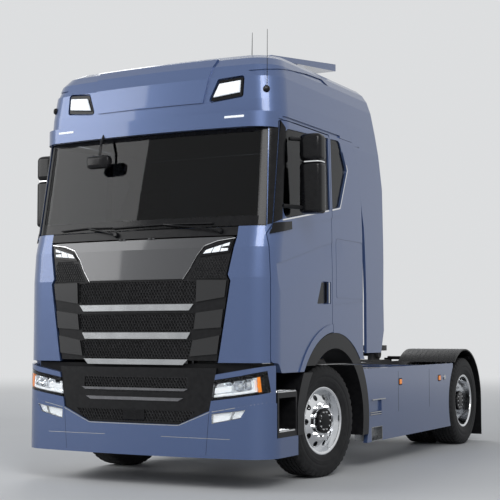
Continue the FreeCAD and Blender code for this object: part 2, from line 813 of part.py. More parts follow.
hatch_points = both_sides(front_points(HATCH_SHARES))
hatch_block = front_block(hatch_points, cab_front - reach, mid_y, size.hatch_corner_radius, -half_gap)
hatch_space = front_block(hatch_points, cab_front - reach, mid_y, size.hatch_corner_radius, half_gap)
hatch_inner = front_block(hatch_points, cab_front - reach, mid_y, size.hatch_corner_radius,
                          -half_gap - 2 * size.door_clearance)
windscreen_points = both_sides(front_points(WINDSCREEN_SHARES))
windscreen_block = front_block(windscreen_points, cab_front - reach, mid_y, 0, -size.fit_gap)
windscreen_space = front_block(windscreen_points, cab_front - reach, mid_y)
cowl_points = both_sides(front_points(COWL_SHARES))
cowl_block = front_block(cowl_points, cab_front - reach, mid_y, 0, -size.fit_gap)
cowl_space = front_block(cowl_points, cab_front - reach, mid_y)
front_zone = plain_box((0, reach), (cab_front - reach, door_front + cab_length * size.corner_zone_share),
                       (size.ground, size.roof_height))
corner = wall.common(above_skirt).common(front_zone).cut(door_space).cut(hatch_space)
corner = corner.cut(windscreen_space).cut(cowl_space).cut(arch_space)
strip_z = (max(up for out, up in hatch_points) - half_gap,
           min(up for out, up in windscreen_points) + half_gap)
corner = corner.cut(plain_box((-reach, cowl_points[0][0]), (cab_front - reach, mid_y), strip_z))
corner = corner.cut(on_hinge(size.corner_swing_radius, size.cab_base_height,
                             size.door_hinge_low - size.door_pocket_height))
corner = max(corner.Solids, key=lambda solid: solid.Volume)
keep_pair("cab_corner", corner.fuse(brackets).removeSplitter())
screen = skin(size.glass_inset, size.glass_inset + size.glass_thickness).common(windscreen_block)
screen = screen.common(above_skirt).cut(door_space).cut(flipped(door_space))
keep_shape("windscreen", screen)

# Cowl strip under the windscreen with the bulkhead behind it
cowl = wall.common(cowl_block)
cowl_bottom = min(up for out, up in cowl_points)
bulkhead_x = size.body_half_width - 2 * size.cab_wall
bulkhead_y = front_axle + size.bulkhead_front
bulkhead = plain_box((-bulkhead_x, bulkhead_x), (bulkhead_y, bulkhead_y + size.bulkhead_thickness),
                     (size.bulkhead_bottom, cowl_bottom + size.cab_wall / 2))
inside = envelope(size.cab_wall + size.trim_gap)
shelf_x = cowl_points[0][0] - size.seam_gap
shelf = plain_box((-shelf_x, shelf_x), (cab_front, bulkhead_y + size.bulkhead_thickness),
                  (cowl_bottom + size.fit_gap, cowl_bottom + size.cab_wall / 2))
shelf = shelf.common(envelope(size.cab_wall / 2)).common(inside.fuse(cowl_block))


def side_link(start, end, half_width, low_x, high_x):
    """A flat bar between two side-view points, with round ends."""
    along = Vector(0, end[0] - start[0], end[1] - start[1])
    across_bar = Vector(0, -along.z, along.y)
    across_bar.normalize()
    across_bar *= half_width
    first = Vector(low_x, *start)
    last = Vector(low_x, *end)
    corners = [first + across_bar, last + across_bar, last - across_bar, first - across_bar,
               first + across_bar]
    bar = Part.Face(Part.makePolygon(corners)).extrude(AXIS_X * (high_x - low_x))
    tips = [Part.makeCylinder(half_width, high_x - low_x, spot, AXIS_X) for spot in (first, last)]
    return bar.fuse(tips)


pivot_spot = (front_axle - size.tilt_pivot_ahead, size.tilt_pivot_height)
knee = (pivot_spot[0] + size.pivot_knee_back, pivot_spot[1] + size.pivot_knee_up)
top = (bulkhead_y + size.bulkhead_thickness / 2, size.bulkhead_bottom + 2 * size.pivot_arm_half_width)
arm_low_x = size.rail_outer + size.pivot_arm_gap
arm_high_x = arm_low_x + size.pivot_arm_thickness
pivot_arm = side_link(pivot_spot, knee, size.pivot_arm_half_width, arm_low_x, arm_high_x)
pivot_arm = pivot_arm.fuse(side_link(knee, top, size.pivot_arm_half_width, arm_low_x, arm_high_x))
eye_start = Vector(arm_low_x, *pivot_spot)
pivot_arm = pivot_arm.fuse(Part.makeCylinder(size.pivot_eye_radius, size.pivot_arm_thickness, eye_start,
                                             AXIS_X))
pivot_arm = pivot_arm.cut(Part.makeCylinder(size.cab_pivot_radius + size.kingpin_clearance,
                                            size.pivot_arm_thickness,
                                            eye_start, AXIS_X))
bracket_rooms = Part.makeCompound(bracket_rooms)
bulkhead = bulkhead.cut(bracket_rooms).cut(flipped(bracket_rooms))
bulkhead = bulkhead.common(inside).fuse([pivot_arm, flipped(pivot_arm), shelf])
hatch_top = max(up for out, up in front_points(HATCH_SHARES)) - half_gap
hinge_z = (hatch_top + cowl_bottom + size.fit_gap) / 2
hinge_y = cab_front + size.hatch_hinge_back
cowl_eyes = []
hatch_eyes = []
for side_sign in (-1, 1):
    middle = Vector(side_sign * size.hatch_hinge_offset, hinge_y, hinge_z)
    half_eye = size.hatch_eye_width / 2
    start = middle - AXIS_X * half_eye
    eye = Part.makeCylinder(size.hatch_eye_radius, size.hatch_eye_width, start, AXIS_X)
    leaf = plain_box((start.x, start.x + size.hatch_eye_width),
                     (hinge_y, hinge_y + size.hatch_thickness / 2),
                     (hinge_z + size.hatch_pin_radius, cowl_bottom + size.hatch_eye_radius))
    hole = Part.makeCylinder(size.hatch_pin_radius + size.kingpin_clearance, size.hatch_eye_width, start,
                             AXIS_X)
    cowl_eyes.append(eye.fuse(leaf).cut(hole))
    pin_reach = half_eye + size.hatch_eye_gap + size.hatch_eye_width
    hatch_eyes.append(Part.makeCylinder(size.hatch_pin_radius, 2 * pin_reach, middle - AXIS_X * pin_reach,
                                        AXIS_X))
    for end_sign in (-1, 1):
        edges = sorted((middle.x + end_sign * (half_eye + size.hatch_eye_gap),
                        middle.x + end_sign * pin_reach))
        hatch_eyes.append(Part.makeCylinder(size.hatch_eye_radius, size.hatch_eye_width,
                                            Vector(edges[0], hinge_y, hinge_z),
                                            AXIS_X))
        hatch_eyes.append(plain_box(edges, (hinge_y, hinge_y + size.hatch_thickness / 2),
                                    (hatch_top - size.hatch_eye_radius, hinge_z - size.hatch_pin_radius)))
keep_shape("cab_cowl", cowl.fuse([bulkhead] + cowl_eyes).removeSplitter())

# Front hatch: the hood with its eyes and the side fins, the black panel with its mesh slots, bars and lamps
def on_front(shares, grow=0, radius=0):
    """A block through the cab's front over an outline and its mirror image."""
    face = front_block(both_sides(front_points(shares)), cab_front - reach, mid_y, radius, grow)
    return face


hood_block = on_front(HOOD_SHARES)
hood_middle = plain_box((-size.hood_middle, size.hood_middle), (cab_front - reach, mid_y),
                        (hatch_top - size.hood_middle_height, hatch_top))
hood = skin(0, size.hood_edge).common(hatch_block).common(hood_block)
hood = hood.fuse([skin(size.hood_edge, size.grille_recess).common(hatch_inner).common(hood_block),
                  skin(size.hood_edge, size.hatch_thickness).common(hatch_inner).common(hood_middle)])
fin_layer = skin(-size.bar_stand_off, size.bar_depth / 2)
fins = []
for shares in FIN_SHARES:
    fin = fin_layer.common(front_block(front_points(shares), cab_front - reach, mid_y))
    fins += [fin, flipped(fin)]
keep_shape("front_hatch", Part.makeCompound([hood.fuse(hatch_eyes).removeSplitter()] + fins))
panel_face = size.bar_depth / 2 + size.fit_gap
upper_lamp_block = front_block(front_points(UPPER_LAMP_SHARES), cab_front - reach, mid_y)
lamp_room = front_block(front_points(UPPER_LAMP_SHARES), cab_front - reach, mid_y, 0, size.trim_gap)
lamp_bed = skin(0, size.lamp_seat).common(lamp_room)
hood_room = skin(0, size.grille_recess + size.fit_gap).common(on_front(HOOD_SHARES, size.trim_gap))
middle_room = plain_box((-size.hood_middle - size.trim_gap, size.hood_middle + size.trim_gap),
                        (cab_front - reach, mid_y), (hatch_top - size.hood_middle_height - size.trim_gap,
                                                     hatch_top))
slot_layer = skin(0, panel_face + size.slot_depth)
slots = [slot_layer.common(on_front(shares)) for shares in SLOT_SHARES]
panel = skin(panel_face, size.hatch_thickness).common(hatch_inner).cut(hood_room).cut(middle_room)
panel = panel.cut(lamp_bed).cut(flipped(lamp_bed)).cut(Part.makeCompound(slots))
keep_shape("grille_mesh", panel)
bars = [skin(-size.bar_stand_off, size.bar_depth / 2).common(on_front(shares)) for shares in BAR_SHARES]
keep_shape("grille_bars", Part.makeCompound(bars))
upper_lamp = skin(size.fit_gap, size.lamp_seat - size.fit_gap).common(upper_lamp_block)
keep_both("hatch_lamps", upper_lamp)

# Roof lamps, sun visor, side deflectors and roof spoiler
lamp = skin(size.roof_lamp_recess, size.roof_lamp_depth - size.fit_gap).common(
    front_block(lamp_face_points, cab_front - reach, mid_y, size.hatch_corner_radius))
keep_shape("roof_lamps", Part.makeCompound([lamp, flipped(lamp)]))

visor_corner = size.cab_corner_radius + size.visor_wall
visor_outer = Part.Face(plan_wire(
    cab_front + size.roof_setback * LEVEL_SHARES[4][1] - size.visor_front, cab_rear,
    size.visor_width, visor_corner, size.cab_rear_corner_radius, size.cab_front_bow, size.visor_bottom,
)).extrude(AXIS_Z * size.visor_height)
visor_zone = plain_box((-reach, reach), (cab_front - reach, front_axle + size.visor_rear),
                       (size.ground, size.roof_height))
visor = visor_outer.common(visor_zone).cut(envelope(-size.trim_gap)).cut(door_space).cut(flipped(door_space))
visor = max(visor.Solids, key=lambda solid: solid.Volume)
keep_shape("sun_visor", visor)

deflector = skin(0, size.deflector_thickness, size.deflector_length).common(deflector_block).cut(seams)
keep_both("side_deflectors", max(deflector.Solids, key=lambda solid: solid.Volume))

spoiler_profile = [
    (front_axle + size.spoiler_front, size.spoiler_front_height),
    (front_axle + size.spoiler_rear, size.spoiler_rear_height - size.spoiler_thickness),
    (front_axle + size.spoiler_rear, size.spoiler_rear_height),
    (front_axle + size.spoiler_front, size.spoiler_front_height + size.spoiler_thickness / 2),
]
spoiler = side_block(spoiler_profile, -size.spoiler_half_width, size.spoiler_half_width)
for side_sign in (-1, 1):
    post_x = side_sign * size.spoiler_half_width * size.spoiler_post_share
    post = plain_box((post_x - size.spoiler_post_width / 2, post_x + size.spoiler_post_width / 2),
                     (front_axle, front_axle + size.spoiler_post_length),
                     (size.roof_height + size.fit_gap, size.spoiler_rear_height))
    under = side_block([spoiler_profile[0], spoiler_profile[1], (spoiler_profile[1][0], size.roof_height),
                        (spoiler_profile[0][0], size.roof_height)], -reach, reach)
    spoiler = spoiler.fuse(post.common(under))
keep_shape("roof_spoiler", spoiler.removeSplitter())

# Cab floor, dashboard, seats and bunk
floor_slab = plain_box((-reach, reach), (bulkhead_y + size.bulkhead_thickness + size.fit_gap,
                                         inner_rear - size.trim_gap),
                       (size.floor_height - size.floor_thickness, size.floor_height))
door_side = side_block(door_points, 0, reach, size.door_corner_radius, size.door_clearance)
door_room = door_side.common(skin(-size.cut_reach, size.cab_wall + size.door_clearance))
door_room = door_room.fuse(on_hinge(size.door_swing_radius, size.cab_base_height, size.roof_seam_height))
keep_shape("cab_floor", floor_slab.common(inside).cut(door_room.fuse(flipped(door_room))))
dash_points = [
    (bulkhead_y + size.bulkhead_thickness + size.fit_gap, size.dash_bottom),
    (front_axle + size.dash_rear, size.dash_bottom + size.dash_radius),
    (front_axle + size.dash_rear, size.dash_top - size.dash_radius),
    (bulkhead_y + size.bulkhead_thickness + size.fit_gap, size.dash_top),
]
dash_room = size.body_half_width - 2 * size.cab_wall - size.cab_corner_radius / 2
dashboard = side_block(dash_points, -dash_room, dash_room)
tilt = Rotation(AXIS_X, -size.steering_wheel_tilt)
column_axis = tilt.multVec(AXIS_Z)
wheel_spot = Vector(size.seat_offset, front_axle + size.steering_wheel_from_axle,
                    size.steering_wheel_height)
column_top = wheel_spot - column_axis * (size.steering_hub_depth + size.fit_gap)
column = Part.makeCylinder(size.steering_column_radius, size.steering_column_length, column_top,
                           column_axis * -1)
keep_shape("dashboard", dashboard.fuse(column).removeSplitter())


def seat(centre_x):
    """A driver's seat: pedestal, cushion and back."""
    half = size.seat_width / 2
    base_half = size.seat_base_width / 2
    front = front_axle + size.seat_front
    rear = front_axle + size.seat_rear
    cushion_bottom = size.seat_height - size.seat_cushion_thickness
    pedestal = plain_box((centre_x - base_half, centre_x + base_half),
                         (front + size.seat_back_thickness, rear - size.trim_gap),
                         (size.floor_height + size.fit_gap, cushion_bottom))
    cushion = plain_box((centre_x - half, centre_x + half), (front, rear),
                        (cushion_bottom, size.seat_height))
    back = plain_box((centre_x - half, centre_x + half), (rear - size.seat_back_thickness, rear),
                     (size.seat_height, size.seat_height + size.seat_back_height))
    return pedestal.fuse([cushion, back]).removeSplitter()


keep_shape("seats", Part.makeCompound([seat(size.seat_offset), seat(-size.seat_offset)]))
bunk_base = plain_box((-size.bunk_half_length, size.bunk_half_length),
                      (front_axle + size.bunk_front, inner_rear - size.cab_wall),
                      (size.floor_height + size.fit_gap, size.bunk_height - size.bunk_thickness))
mattress = plain_box((-size.bunk_half_length, size.bunk_half_length),
                     (front_axle + size.bunk_front, inner_rear - size.cab_wall),
                     (size.bunk_height - size.bunk_thickness, size.bunk_height))
keep_shape("bunk", bunk_base.fuse(mattress).removeSplitter())

# Steering wheel on its column
rim = Part.makeTorus(size.steering_wheel_radius, size.steering_wheel_rim)
hub = Part.makeCylinder(size.steering_hub_radius, size.steering_hub_depth,
                        AXIS_Z * -size.steering_hub_depth)
spoke = plain_box((-size.steering_wheel_radius, size.steering_wheel_radius),
                  (-size.steering_wheel_rim, size.steering_wheel_rim),
                  (-size.steering_wheel_rim, size.steering_wheel_rim / 2))
steering_wheel = rim.fuse([hub, spoke])
steering_wheel.Placement = FreeCAD.Placement(wheel_spot, tilt)
keep_shape("steering_wheel", steering_wheel)

# Bumper, headlamps with fog lamps, and lower grille
nose = front_axle - size.front_overhang


def front_layer(outer_inset, inner_inset, low, high):
    """A layer of the chassis front between two insets and two heights."""
    layers = []
    for inset in (outer_inset, inner_inset):
        wire = plan_wire(nose + inset, front_axle, size.body_half_width - inset,
                         size.chassis_corner_radius - inset, size.cab_rear_corner_radius - inset,
                         size.cab_front_bow - inset, low)
        layers.append(Part.Face(wire).extrude(AXIS_Z * (high - low)))
    return layers[0].cut(layers[1])


half = size.body_half_width


def low_block(shares, grow=0):
    """A block through the chassis front over an outline in shares of its half width and height."""
    points = [(out * half, up * size.chassis_front_top) for out, up in shares]
    return front_block(points, nose - reach, front_axle, 0, grow)


def low_points(shares):
    """Both halves of an outline of the chassis front."""
    return both_sides(shares)


front_band = front_layer(0, size.bumper_thickness, size.bumper_bottom, size.roof_height)
bumper_zone = plain_box((-reach, reach), (nose - reach, front_axle + size.bumper_rear),
                        (size.ground, size.bumper_corner_top))
lamp_zone = plain_box((-reach, reach), (nose - reach, front_axle + size.lamp_rear),
                      (size.ground, size.roof_height))
fog_block = low_block(FOG_SHARES)
step_space = plain_box((half - size.step_depth - size.trim_gap, reach),
                       (front_axle + size.step_front - size.trim_gap, front_axle),
                       (size.step_low - size.trim_gap, size.roof_height))
lamp_opening = low_block(LAMP_OPENING_SHARES)
openings = Part.makeCompound([fog_block, step_space, lamp_opening])
bumper = front_band.common(bumper_zone.fuse(lamp_zone)).common(low_block(low_points(BUMPER_SHARES)))
bumper = bumper.cut(openings).cut(flipped(openings))
keep_shape("bumper", max(bumper.Solids, key=lambda solid: solid.Volume))
headlamp = front_layer(size.fit_gap, size.lamp_thickness, size.bumper_bottom, size.roof_height).common(
    low_block(LAMP_SHARES, -size.trim_gap)).common(lamp_zone)
fog_lamp = front_layer(size.fit_gap, size.fog_depth, size.bumper_bottom, size.roof_height).common(
    low_block(FOG_SHARES, -size.trim_gap)).common(lamp_zone)
keep_both("headlamps", Part.makeCompound([headlamp, fog_lamp]))
lower_shares = [(LAMP_SHARES[0][0] + LAMP_SHARES[0][0] - LAMP_SHARES[-1][0], 1.0), LAMP_SHARES[0],
                LAMP_SHARES[-1]]
lower_shares += BUMPER_SHARES[-2:]
lower_face = low_block(low_points(lower_shares), -size.trim_gap)
lower_face = lower_face.cut(low_block(low_points(BUMPER_SHARES), size.trim_gap))
lower_grille = front_layer(size.grille_recess / 2, size.lower_grille_depth, size.bumper_bottom,
                           size.chassis_front_top)
lower_slots = [front_layer(0, size.grille_recess / 2 + size.slot_depth, size.bumper_bottom,
                           size.roof_height).common(
    low_block(low_points(shares))) for shares in LOWER_SLOT_SHARES]
keep_shape("lower_grille", lower_grille.common(lower_face).cut(Part.makeCompound(lower_slots)))

# Steps below the doors
step_outer = half - size.trim_gap
step_inner = half - size.step_depth
step_y = (front_axle + size.step_front, front_axle + size.step_rear)
step_top = size.step_high + size.tread_thickness
step = plain_box((step_inner, step_outer), step_y, (size.step_low, step_top))
opening = plain_box((step_inner + size.step_wall, reach),
                    (step_y[0] + size.step_wall, step_y[1] - size.step_wall),
                    (size.step_low + size.tread_thickness, size.step_high))
step = step.cut(opening)
step_back = plain_box((step_inner, step_inner + size.step_wall), step_y,
                      (step_top, size.chassis_front_top - size.step_wall))
keep_both("steps", step.fuse(step_back).removeSplitter())


def wheel_ring(outer_radius, inner_radius, low_x, high_x):
    """A ring round the front wheel between two distances from the middle."""
    start = wheel_centre + AXIS_X * low_x
    ring = Part.makeCylinder(outer_radius, high_x - low_x, start, AXIS_X)
    return ring.cut(Part.makeCylinder(inner_radius, high_x - low_x, start, AXIS_X))


# Arch mouldings: the upper one rides on the cab, the lower ones stay on the chassis
arch_outer_x = half + size.arch_proud
arch = wheel_ring(size.arch_outer_radius, size.arch_inner_radius, half - size.arch_width, arch_outer_x)
split_front = size.arch_split_front
upper_arch = arch.common(plain_box((0, reach), (front_axle - reach, front_axle + reach),
                                   (size.arch_split_rear + size.seam_gap, size.roof_height)))
keep_both("upper_arches", upper_arch)
lower_zone = plain_box((0, reach), (front_axle - reach, front_axle), (size.step_low, split_front))
lower_front = arch.common(lower_zone).cut(plain_box((0, reach),
                                                    (front_axle - reach, step_y[1] + size.trim_gap),
                                                    (size.ground, size.roof_height)))
rear_zone = plain_box((0, reach), (front_axle, front_axle + reach),
                      (size.arch_bottom, size.arch_split_rear - size.seam_gap))
lower_rear = arch.common(rear_zone)
keep_both("lower_arches", Part.makeCompound([lower_front, lower_rear]))

# Side skirts with a step recess, and the exhaust outlet below the left one
rear_wheel_space = Part.makeCylinder(size.fender_radius, 2 * reach,
                                     Vector(-reach, rear_axle, size.tyre_radius), AXIS_X)
skirt = plain_box((half - size.skirt_thickness, half),
                  (front_axle + size.skirt_front, front_axle + size.skirt_rear),
                  (size.skirt_bottom, size.skirt_top)).cut(rear_wheel_space)
skirt_step = plain_box((half - size.skirt_thickness / 2, reach),
                       (front_axle + size.skirt_step_front, front_axle + size.skirt_step_rear),
                       (size.skirt_step_bottom, size.skirt_step_top))
outlet_space = plain_box((0, reach), (front_axle + size.outlet_front - size.trim_gap,
                                      front_axle + size.outlet_rear + size.trim_gap),
                         (size.skirt_bottom - size.trim_gap,
                          size.outlet_bottom + size.outlet_height + size.trim_gap))
skirt = skirt.cut(skirt_step).cut(arch_space)
SKIRT_BRACKET_SHARES = [0.14, 0.40, 0.62]
for share in SKIRT_BRACKET_SHARES:
    bracket_y = front_axle + size.skirt_front + share * (size.skirt_rear - size.skirt_front)
    bracket = plain_box((size.rail_outer + size.fit_gap, half - size.skirt_thickness / 2),
                        (bracket_y, bracket_y + size.skirt_bracket_width),
                        (size.skirt_top - size.skirt_bracket_thickness, size.skirt_top))
    skirt = skirt.fuse(bracket)
skirt = skirt.removeSplitter()
keep_shape("side_skirts", Part.makeCompound([skirt.cut(outlet_space), flipped(skirt)]))
outlet_y = (front_axle + size.outlet_front, front_axle + size.outlet_rear)
outlet_z = (size.outlet_bottom, size.outlet_bottom + size.outlet_height)
outlet = plain_box((half - size.outlet_depth, half), outlet_y, outlet_z)
bore = plain_box((half - size.outlet_depth, reach),
                 (outlet_y[0] + size.outlet_wall, outlet_y[1] - size.outlet_wall),
                 (outlet_z[0] + size.outlet_wall, outlet_z[1] - size.outlet_wall))
keep_shape("exhaust_outlet", outlet.cut(bore))

# Ladder frame: two channel rails and crossmembers
rail_y = ("frame_start", "frame_end")
rail = box("rail_block", ("rail_outer - rail_flange", "rail_outer"), rail_y,
           ("rail_top - rail_height", "rail_top"))
rail_hollow = box("rail_hollow", ("rail_outer - rail_flange - overrun", "rail_outer - rail_thickness"),
                  ("frame_start - overrun", "frame_end + overrun"),
                  ("rail_top - rail_height + rail_thickness", "rail_top - rail_thickness"))
rail_left = cut("rail_left", rail, rail_hollow)
rail_right = mirrored("rail_right", rail_left)
members = [rail_left, rail_right]
CROSSMEMBER_SHARES = [0.03, 0.34, 0.50, 0.66, 0.96]
for number, share in enumerate(CROSSMEMBER_SHARES):
    middle = f"frame_start + (frame_end - frame_start) * {share}"
    members.append(box(f"crossmember_{number}",
                       ("-rail_outer + rail_thickness / 2", "rail_outer - rail_thickness / 2"),
                       (middle, f"{middle} + crossmember_width / 3"),
                       ("rail_top - rail_height + rail_thickness / 2",
                        "rail_top - rail_height + crossmember_height")))
pivot_y = "front_axle - tilt_pivot_ahead"
pivot_x = ("rail_outer - rail_thickness", "rail_outer + 2 * pivot_arm_gap + pivot_arm_thickness")
pivot_left = across("cab_pivot_left", "cab_pivot_radius", pivot_x, pivot_y, "tilt_pivot_height")
members += [pivot_left, mirrored("cab_pivot_right", pivot_left)]
mount_places = ("radiator_front + mount_length", "engine_front + mount_length",
                "engine_rear - 2 * mount_length")
for number, place in enumerate(mount_places):
    mount = box(f"engine_mount_{number}",
                ("engine_half_width + fit_gap", "rail_outer - rail_thickness / 2"),
                (f"front_axle + {place}", f"front_axle + {place} + mount_length"),
                ("mount_height", "mount_height + mount_length"))
    members += [mount, mirrored(f"engine_mount_right_{number}", mount)]
post = box("bridge_post", ("rail_outer - rail_flange", "rail_outer"),
           ("front_axle + bridge_from_axle", "front_axle + bridge_from_axle + bridge_width"),
           ("rail_top - rail_thickness", "floor_height - floor_thickness - seam_gap"))
members += [post, mirrored("bridge_post_right", post)]
members.append(box("bridge_beam", ("-rail_outer + rail_flange / 2", "rail_outer - rail_flange / 2"),
                   ("front_axle + bridge_from_axle", "front_axle + bridge_from_axle + bridge_width"),
                   ("floor_height - floor_thickness - seam_gap - bridge_width",
                    "floor_height - floor_thickness - seam_gap")))
keep("chassis_frame", fuse("frame_members", members))

# Front axle beam with kingpin bosses, and its leaf springs
beam_z = size.tyre_radius - size.beam_drop
beam = plain_box((-size.kingpin_offset, size.kingpin_offset),
                 (front_axle - size.beam_width / 2, front_axle + size.beam_width / 2),
                 (beam_z - size.beam_height / 2, beam_z + size.beam_height / 2))
pieces = []
bores = []
for side_sign in (-1, 1):
    foot = Vector(side_sign * size.kingpin_offset, front_axle, size.tyre_radius)
    pieces.append(Part.makeCylinder(size.beam_boss_radius, 2 * size.beam_boss_half_height,
                                    foot - AXIS_Z * size.beam_boss_half_height))
    bores.append(Part.makeCylinder(size.kingpin_radius + size.kingpin_clearance,
                                   size.through_share * size.kingpin_half_height,
                                   foot - AXIS_Z * 2 * size.kingpin_half_height))
    clear = Part.makeCylinder(size.beam_end_relief, size.yoke_thickness * size.through_share,
                              foot - AXIS_Z * (size.beam_boss_half_height + size.yoke_thickness * size.through_share))
    beam = beam.cut(clear)
keep_shape("front_axle", beam.fuse(pieces).cut(Part.makeCompound(bores)).removeSplitter())
spring_z = beam_z + size.beam_height / 2
springs = []
for side_sign in (-1, 1):
    spring_x = side_sign * size.spring_offset
    leaf = plain_box((spring_x - size.spring_width / 2, spring_x + size.spring_width / 2),
                     (front_axle - size.spring_half_length, front_axle + size.spring_half_length),
                     (spring_z + size.fit_gap, spring_z + size.fit_gap + size.spring_thickness))
    leaf_top = spring_z + size.fit_gap + size.spring_thickness
    for end_sign in (-1, 1):
        end_y = front_axle + end_sign * (size.spring_half_length - size.spring_width / 2)
        hanger = plain_box((spring_x - size.spring_width / 2, spring_x + size.spring_width / 2),
                           (end_y - size.spring_width / 2, end_y + size.spring_width / 2),
                           (leaf_top, size.rail_top - size.rail_height - size.fit_gap))
        leaf = leaf.fuse(hanger)
    springs.append(leaf.removeSplitter())
keep_shape("front_springs", Part.makeCompound(springs))


def knuckle(side_sign):
    """Steering knuckle in its straight-ahead place: yoke, kingpin, spindle and arm."""
    foot = Vector(side_sign * size.kingpin_offset, front_axle, size.tyre_radius)
    pin = Part.makeCylinder(size.kingpin_radius, 2 * size.kingpin_half_height,
                            foot - AXIS_Z * size.kingpin_half_height)
    yoke_x = size.beam_boss_radius + size.yoke_gap
    plates = []
    for level_sign in (-1, 1):
        near = foot.z + level_sign * (size.beam_boss_half_height + size.yoke_gap)
        far = near + level_sign * size.yoke_thickness
        edges = sorted((foot.x, foot.x + side_sign * (yoke_x + size.yoke_thickness)))
        plates.append(plain_box(edges, (foot.y - size.beam_boss_radius, foot.y + size.beam_boss_radius),
                                sorted((near, far))))
        plates.append(Part.makeCylinder(size.beam_boss_radius, size.yoke_thickness,
                                        Vector(foot.x, foot.y, min(near, far))))
    web_edges = sorted((foot.x + side_sign * yoke_x, foot.x + side_sign * (yoke_x + size.yoke_thickness)))
    web_reach = size.beam_boss_half_height + size.yoke_gap + size.yoke_thickness
    plates.append(plain_box(web_edges, (foot.y - size.beam_boss_radius, foot.y + size.beam_boss_radius),
                            (foot.z - web_reach, foot.z + web_reach)))
    spindle_start = foot + AXIS_X * (side_sign * (yoke_x + size.yoke_thickness / 2))
    spindle_end = side_sign * (size.front_track_half + size.hub_length / 2)
    plates.append(Part.makeCylinder(size.spindle_radius, abs(spindle_end - spindle_start.x), spindle_start,
                                    AXIS_X * side_sign))
    arm_z = foot.z - web_reach
    plates.append(plain_box((foot.x - size.arm_width / 2, foot.x + size.arm_width / 2),
                            (foot.y, foot.y + size.arm_length + size.arm_width / 2),
                            (arm_z, arm_z + size.yoke_thickness)))
    rod_pin = Part.makeCylinder(size.rod_pin_radius, size.rod_eye_height + 2 * size.yoke_gap,
                                Vector(foot.x, foot.y + size.arm_length,
                                       arm_z - size.rod_eye_height - 2 * size.yoke_gap))
    plates.append(rod_pin)
    return pin.fuse(plates).removeSplitter()


def steered(shape, side_sign):
    """Turn a piece about its kingpin to the angle that the wheels rest at."""
    foot = Vector(side_sign * size.kingpin_offset, front_axle, size.tyre_radius)
    return shape.rotated(foot, AXIS_Z, -size.steer_at_rest)


keep_shape("knuckle_left", steered(knuckle(1), 1))
keep_shape("knuckle_right", steered(knuckle(-1), -1))

rod_ends = []
for side_sign in (-1, 1):
    pin_spot = Vector(side_sign * size.kingpin_offset, front_axle + size.arm_length, size.tyre_radius)
    foot = Vector(side_sign * size.kingpin_offset, front_axle, size.tyre_radius)
    turned = Rotation(AXIS_Z, -size.steer_at_rest).multVec(pin_spot - foot) + foot
    arm_bottom = size.tyre_radius - size.beam_boss_half_height - size.yoke_gap - size.yoke_thickness
    eye_z = arm_bottom - size.yoke_gap - size.rod_eye_height
    rod_ends.append(Vector(turned.x, turned.y, eye_z))
rod_axis_z = rod_ends[0].z + size.rod_eye_height / 2
rod_start = Vector(rod_ends[0].x, rod_ends[0].y, rod_axis_z)
rod = Part.makeCylinder(size.rod_radius, rod_ends[1].x - rod_ends[0].x, rod_start, AXIS_X)
for end in rod_ends:
    rod = rod.fuse(Part.makeCylinder(size.rod_eye_radius, size.rod_eye_height, end))
for end in rod_ends:
    rod = rod.cut(Part.makeCylinder(size.rod_pin_radius + size.kingpin_clearance,
                                    size.through_share * size.rod_eye_height,
                                    end - AXIS_Z * size.rod_eye_height))
keep_shape("tie_rod", rod.removeSplitter())

# Rear axle with its differential and air springs
axle_tube = across("axle_tube", "rear_axle_radius", ("-twin_outer_x", "twin_outer_x"), "rear_axle",
                   "tyre_radius")
differential = across("differential", "differential_radius",
                      ("-differential_width / 2", "differential_width / 2"),
                      "rear_axle", "tyre_radius")
keep("rear_axle", fuse("rear_axle_housing", [axle_tube, differential]))
rail_bottom = size.rail_top - size.rail_height
suspension = []
for side_sign in (-1, 1):
    beam_x = side_sign * (size.rail_outer - size.rail_flange / 2)
    beam_top = size.tyre_radius - size.rear_axle_radius - size.fit_gap
    trailing = plain_box((beam_x - size.rail_flange / 2, beam_x + size.rail_flange / 2),
                         (rear_axle - size.air_spring_offset * size.spring_seat_share,
                          rear_axle + size.air_spring_offset * size.spring_seat_share),
                         (beam_top - size.spring_thickness, beam_top))
    for end_sign in (-1, 1):
        bellows_y = rear_axle + end_sign * size.air_spring_offset
        bellows = Part.makeCylinder(size.air_spring_radius, rail_bottom - size.fit_gap - beam_top,
                                    Vector(beam_x, bellows_y, beam_top))
        trailing = trailing.fuse(bellows)
    suspension.append(trailing)
keep_shape("rear_suspension", Part.makeCompound(suspension))


def tyre_profile(centre_x):
    """Half section of a tyre, turned about the wheel's axle."""
    half_width = size.tyre_width / 2
    shoulder = size.tyre_shoulder
    bead = size.rim_radius + size.fit_gap
    points = [
        (centre_x - half_width * size.bead_width_share, bead),
        (centre_x + half_width * size.bead_width_share, bead),
        (centre_x + half_width, bead + shoulder * size.bead_wall_share),
        (centre_x + half_width, size.tyre_radius - shoulder),
        (centre_x + half_width - shoulder * size.tread_edge_share, size.tyre_radius),
        (centre_x - half_width + shoulder * size.tread_edge_share, size.tyre_radius),
        (centre_x - half_width, size.tyre_radius - shoulder),
        (centre_x - half_width, bead + shoulder * size.bead_wall_share),
    ]
    spots = [Vector(out, 0, radius) for out, radius in points]
    return Part.Face(Part.makePolygon(spots + spots[:1])).revolve(ORIGIN, AXIS_X, FULL_TURN)


def tube(outer_radius, inner_radius, low_x, high_x):
    """A tube along the wheel's axle."""
    start = AXIS_X * low_x
    outer = Part.makeCylinder(outer_radius, high_x - low_x, start, AXIS_X)
    return outer.cut(Part.makeCylinder(inner_radius, high_x - low_x, start, AXIS_X))


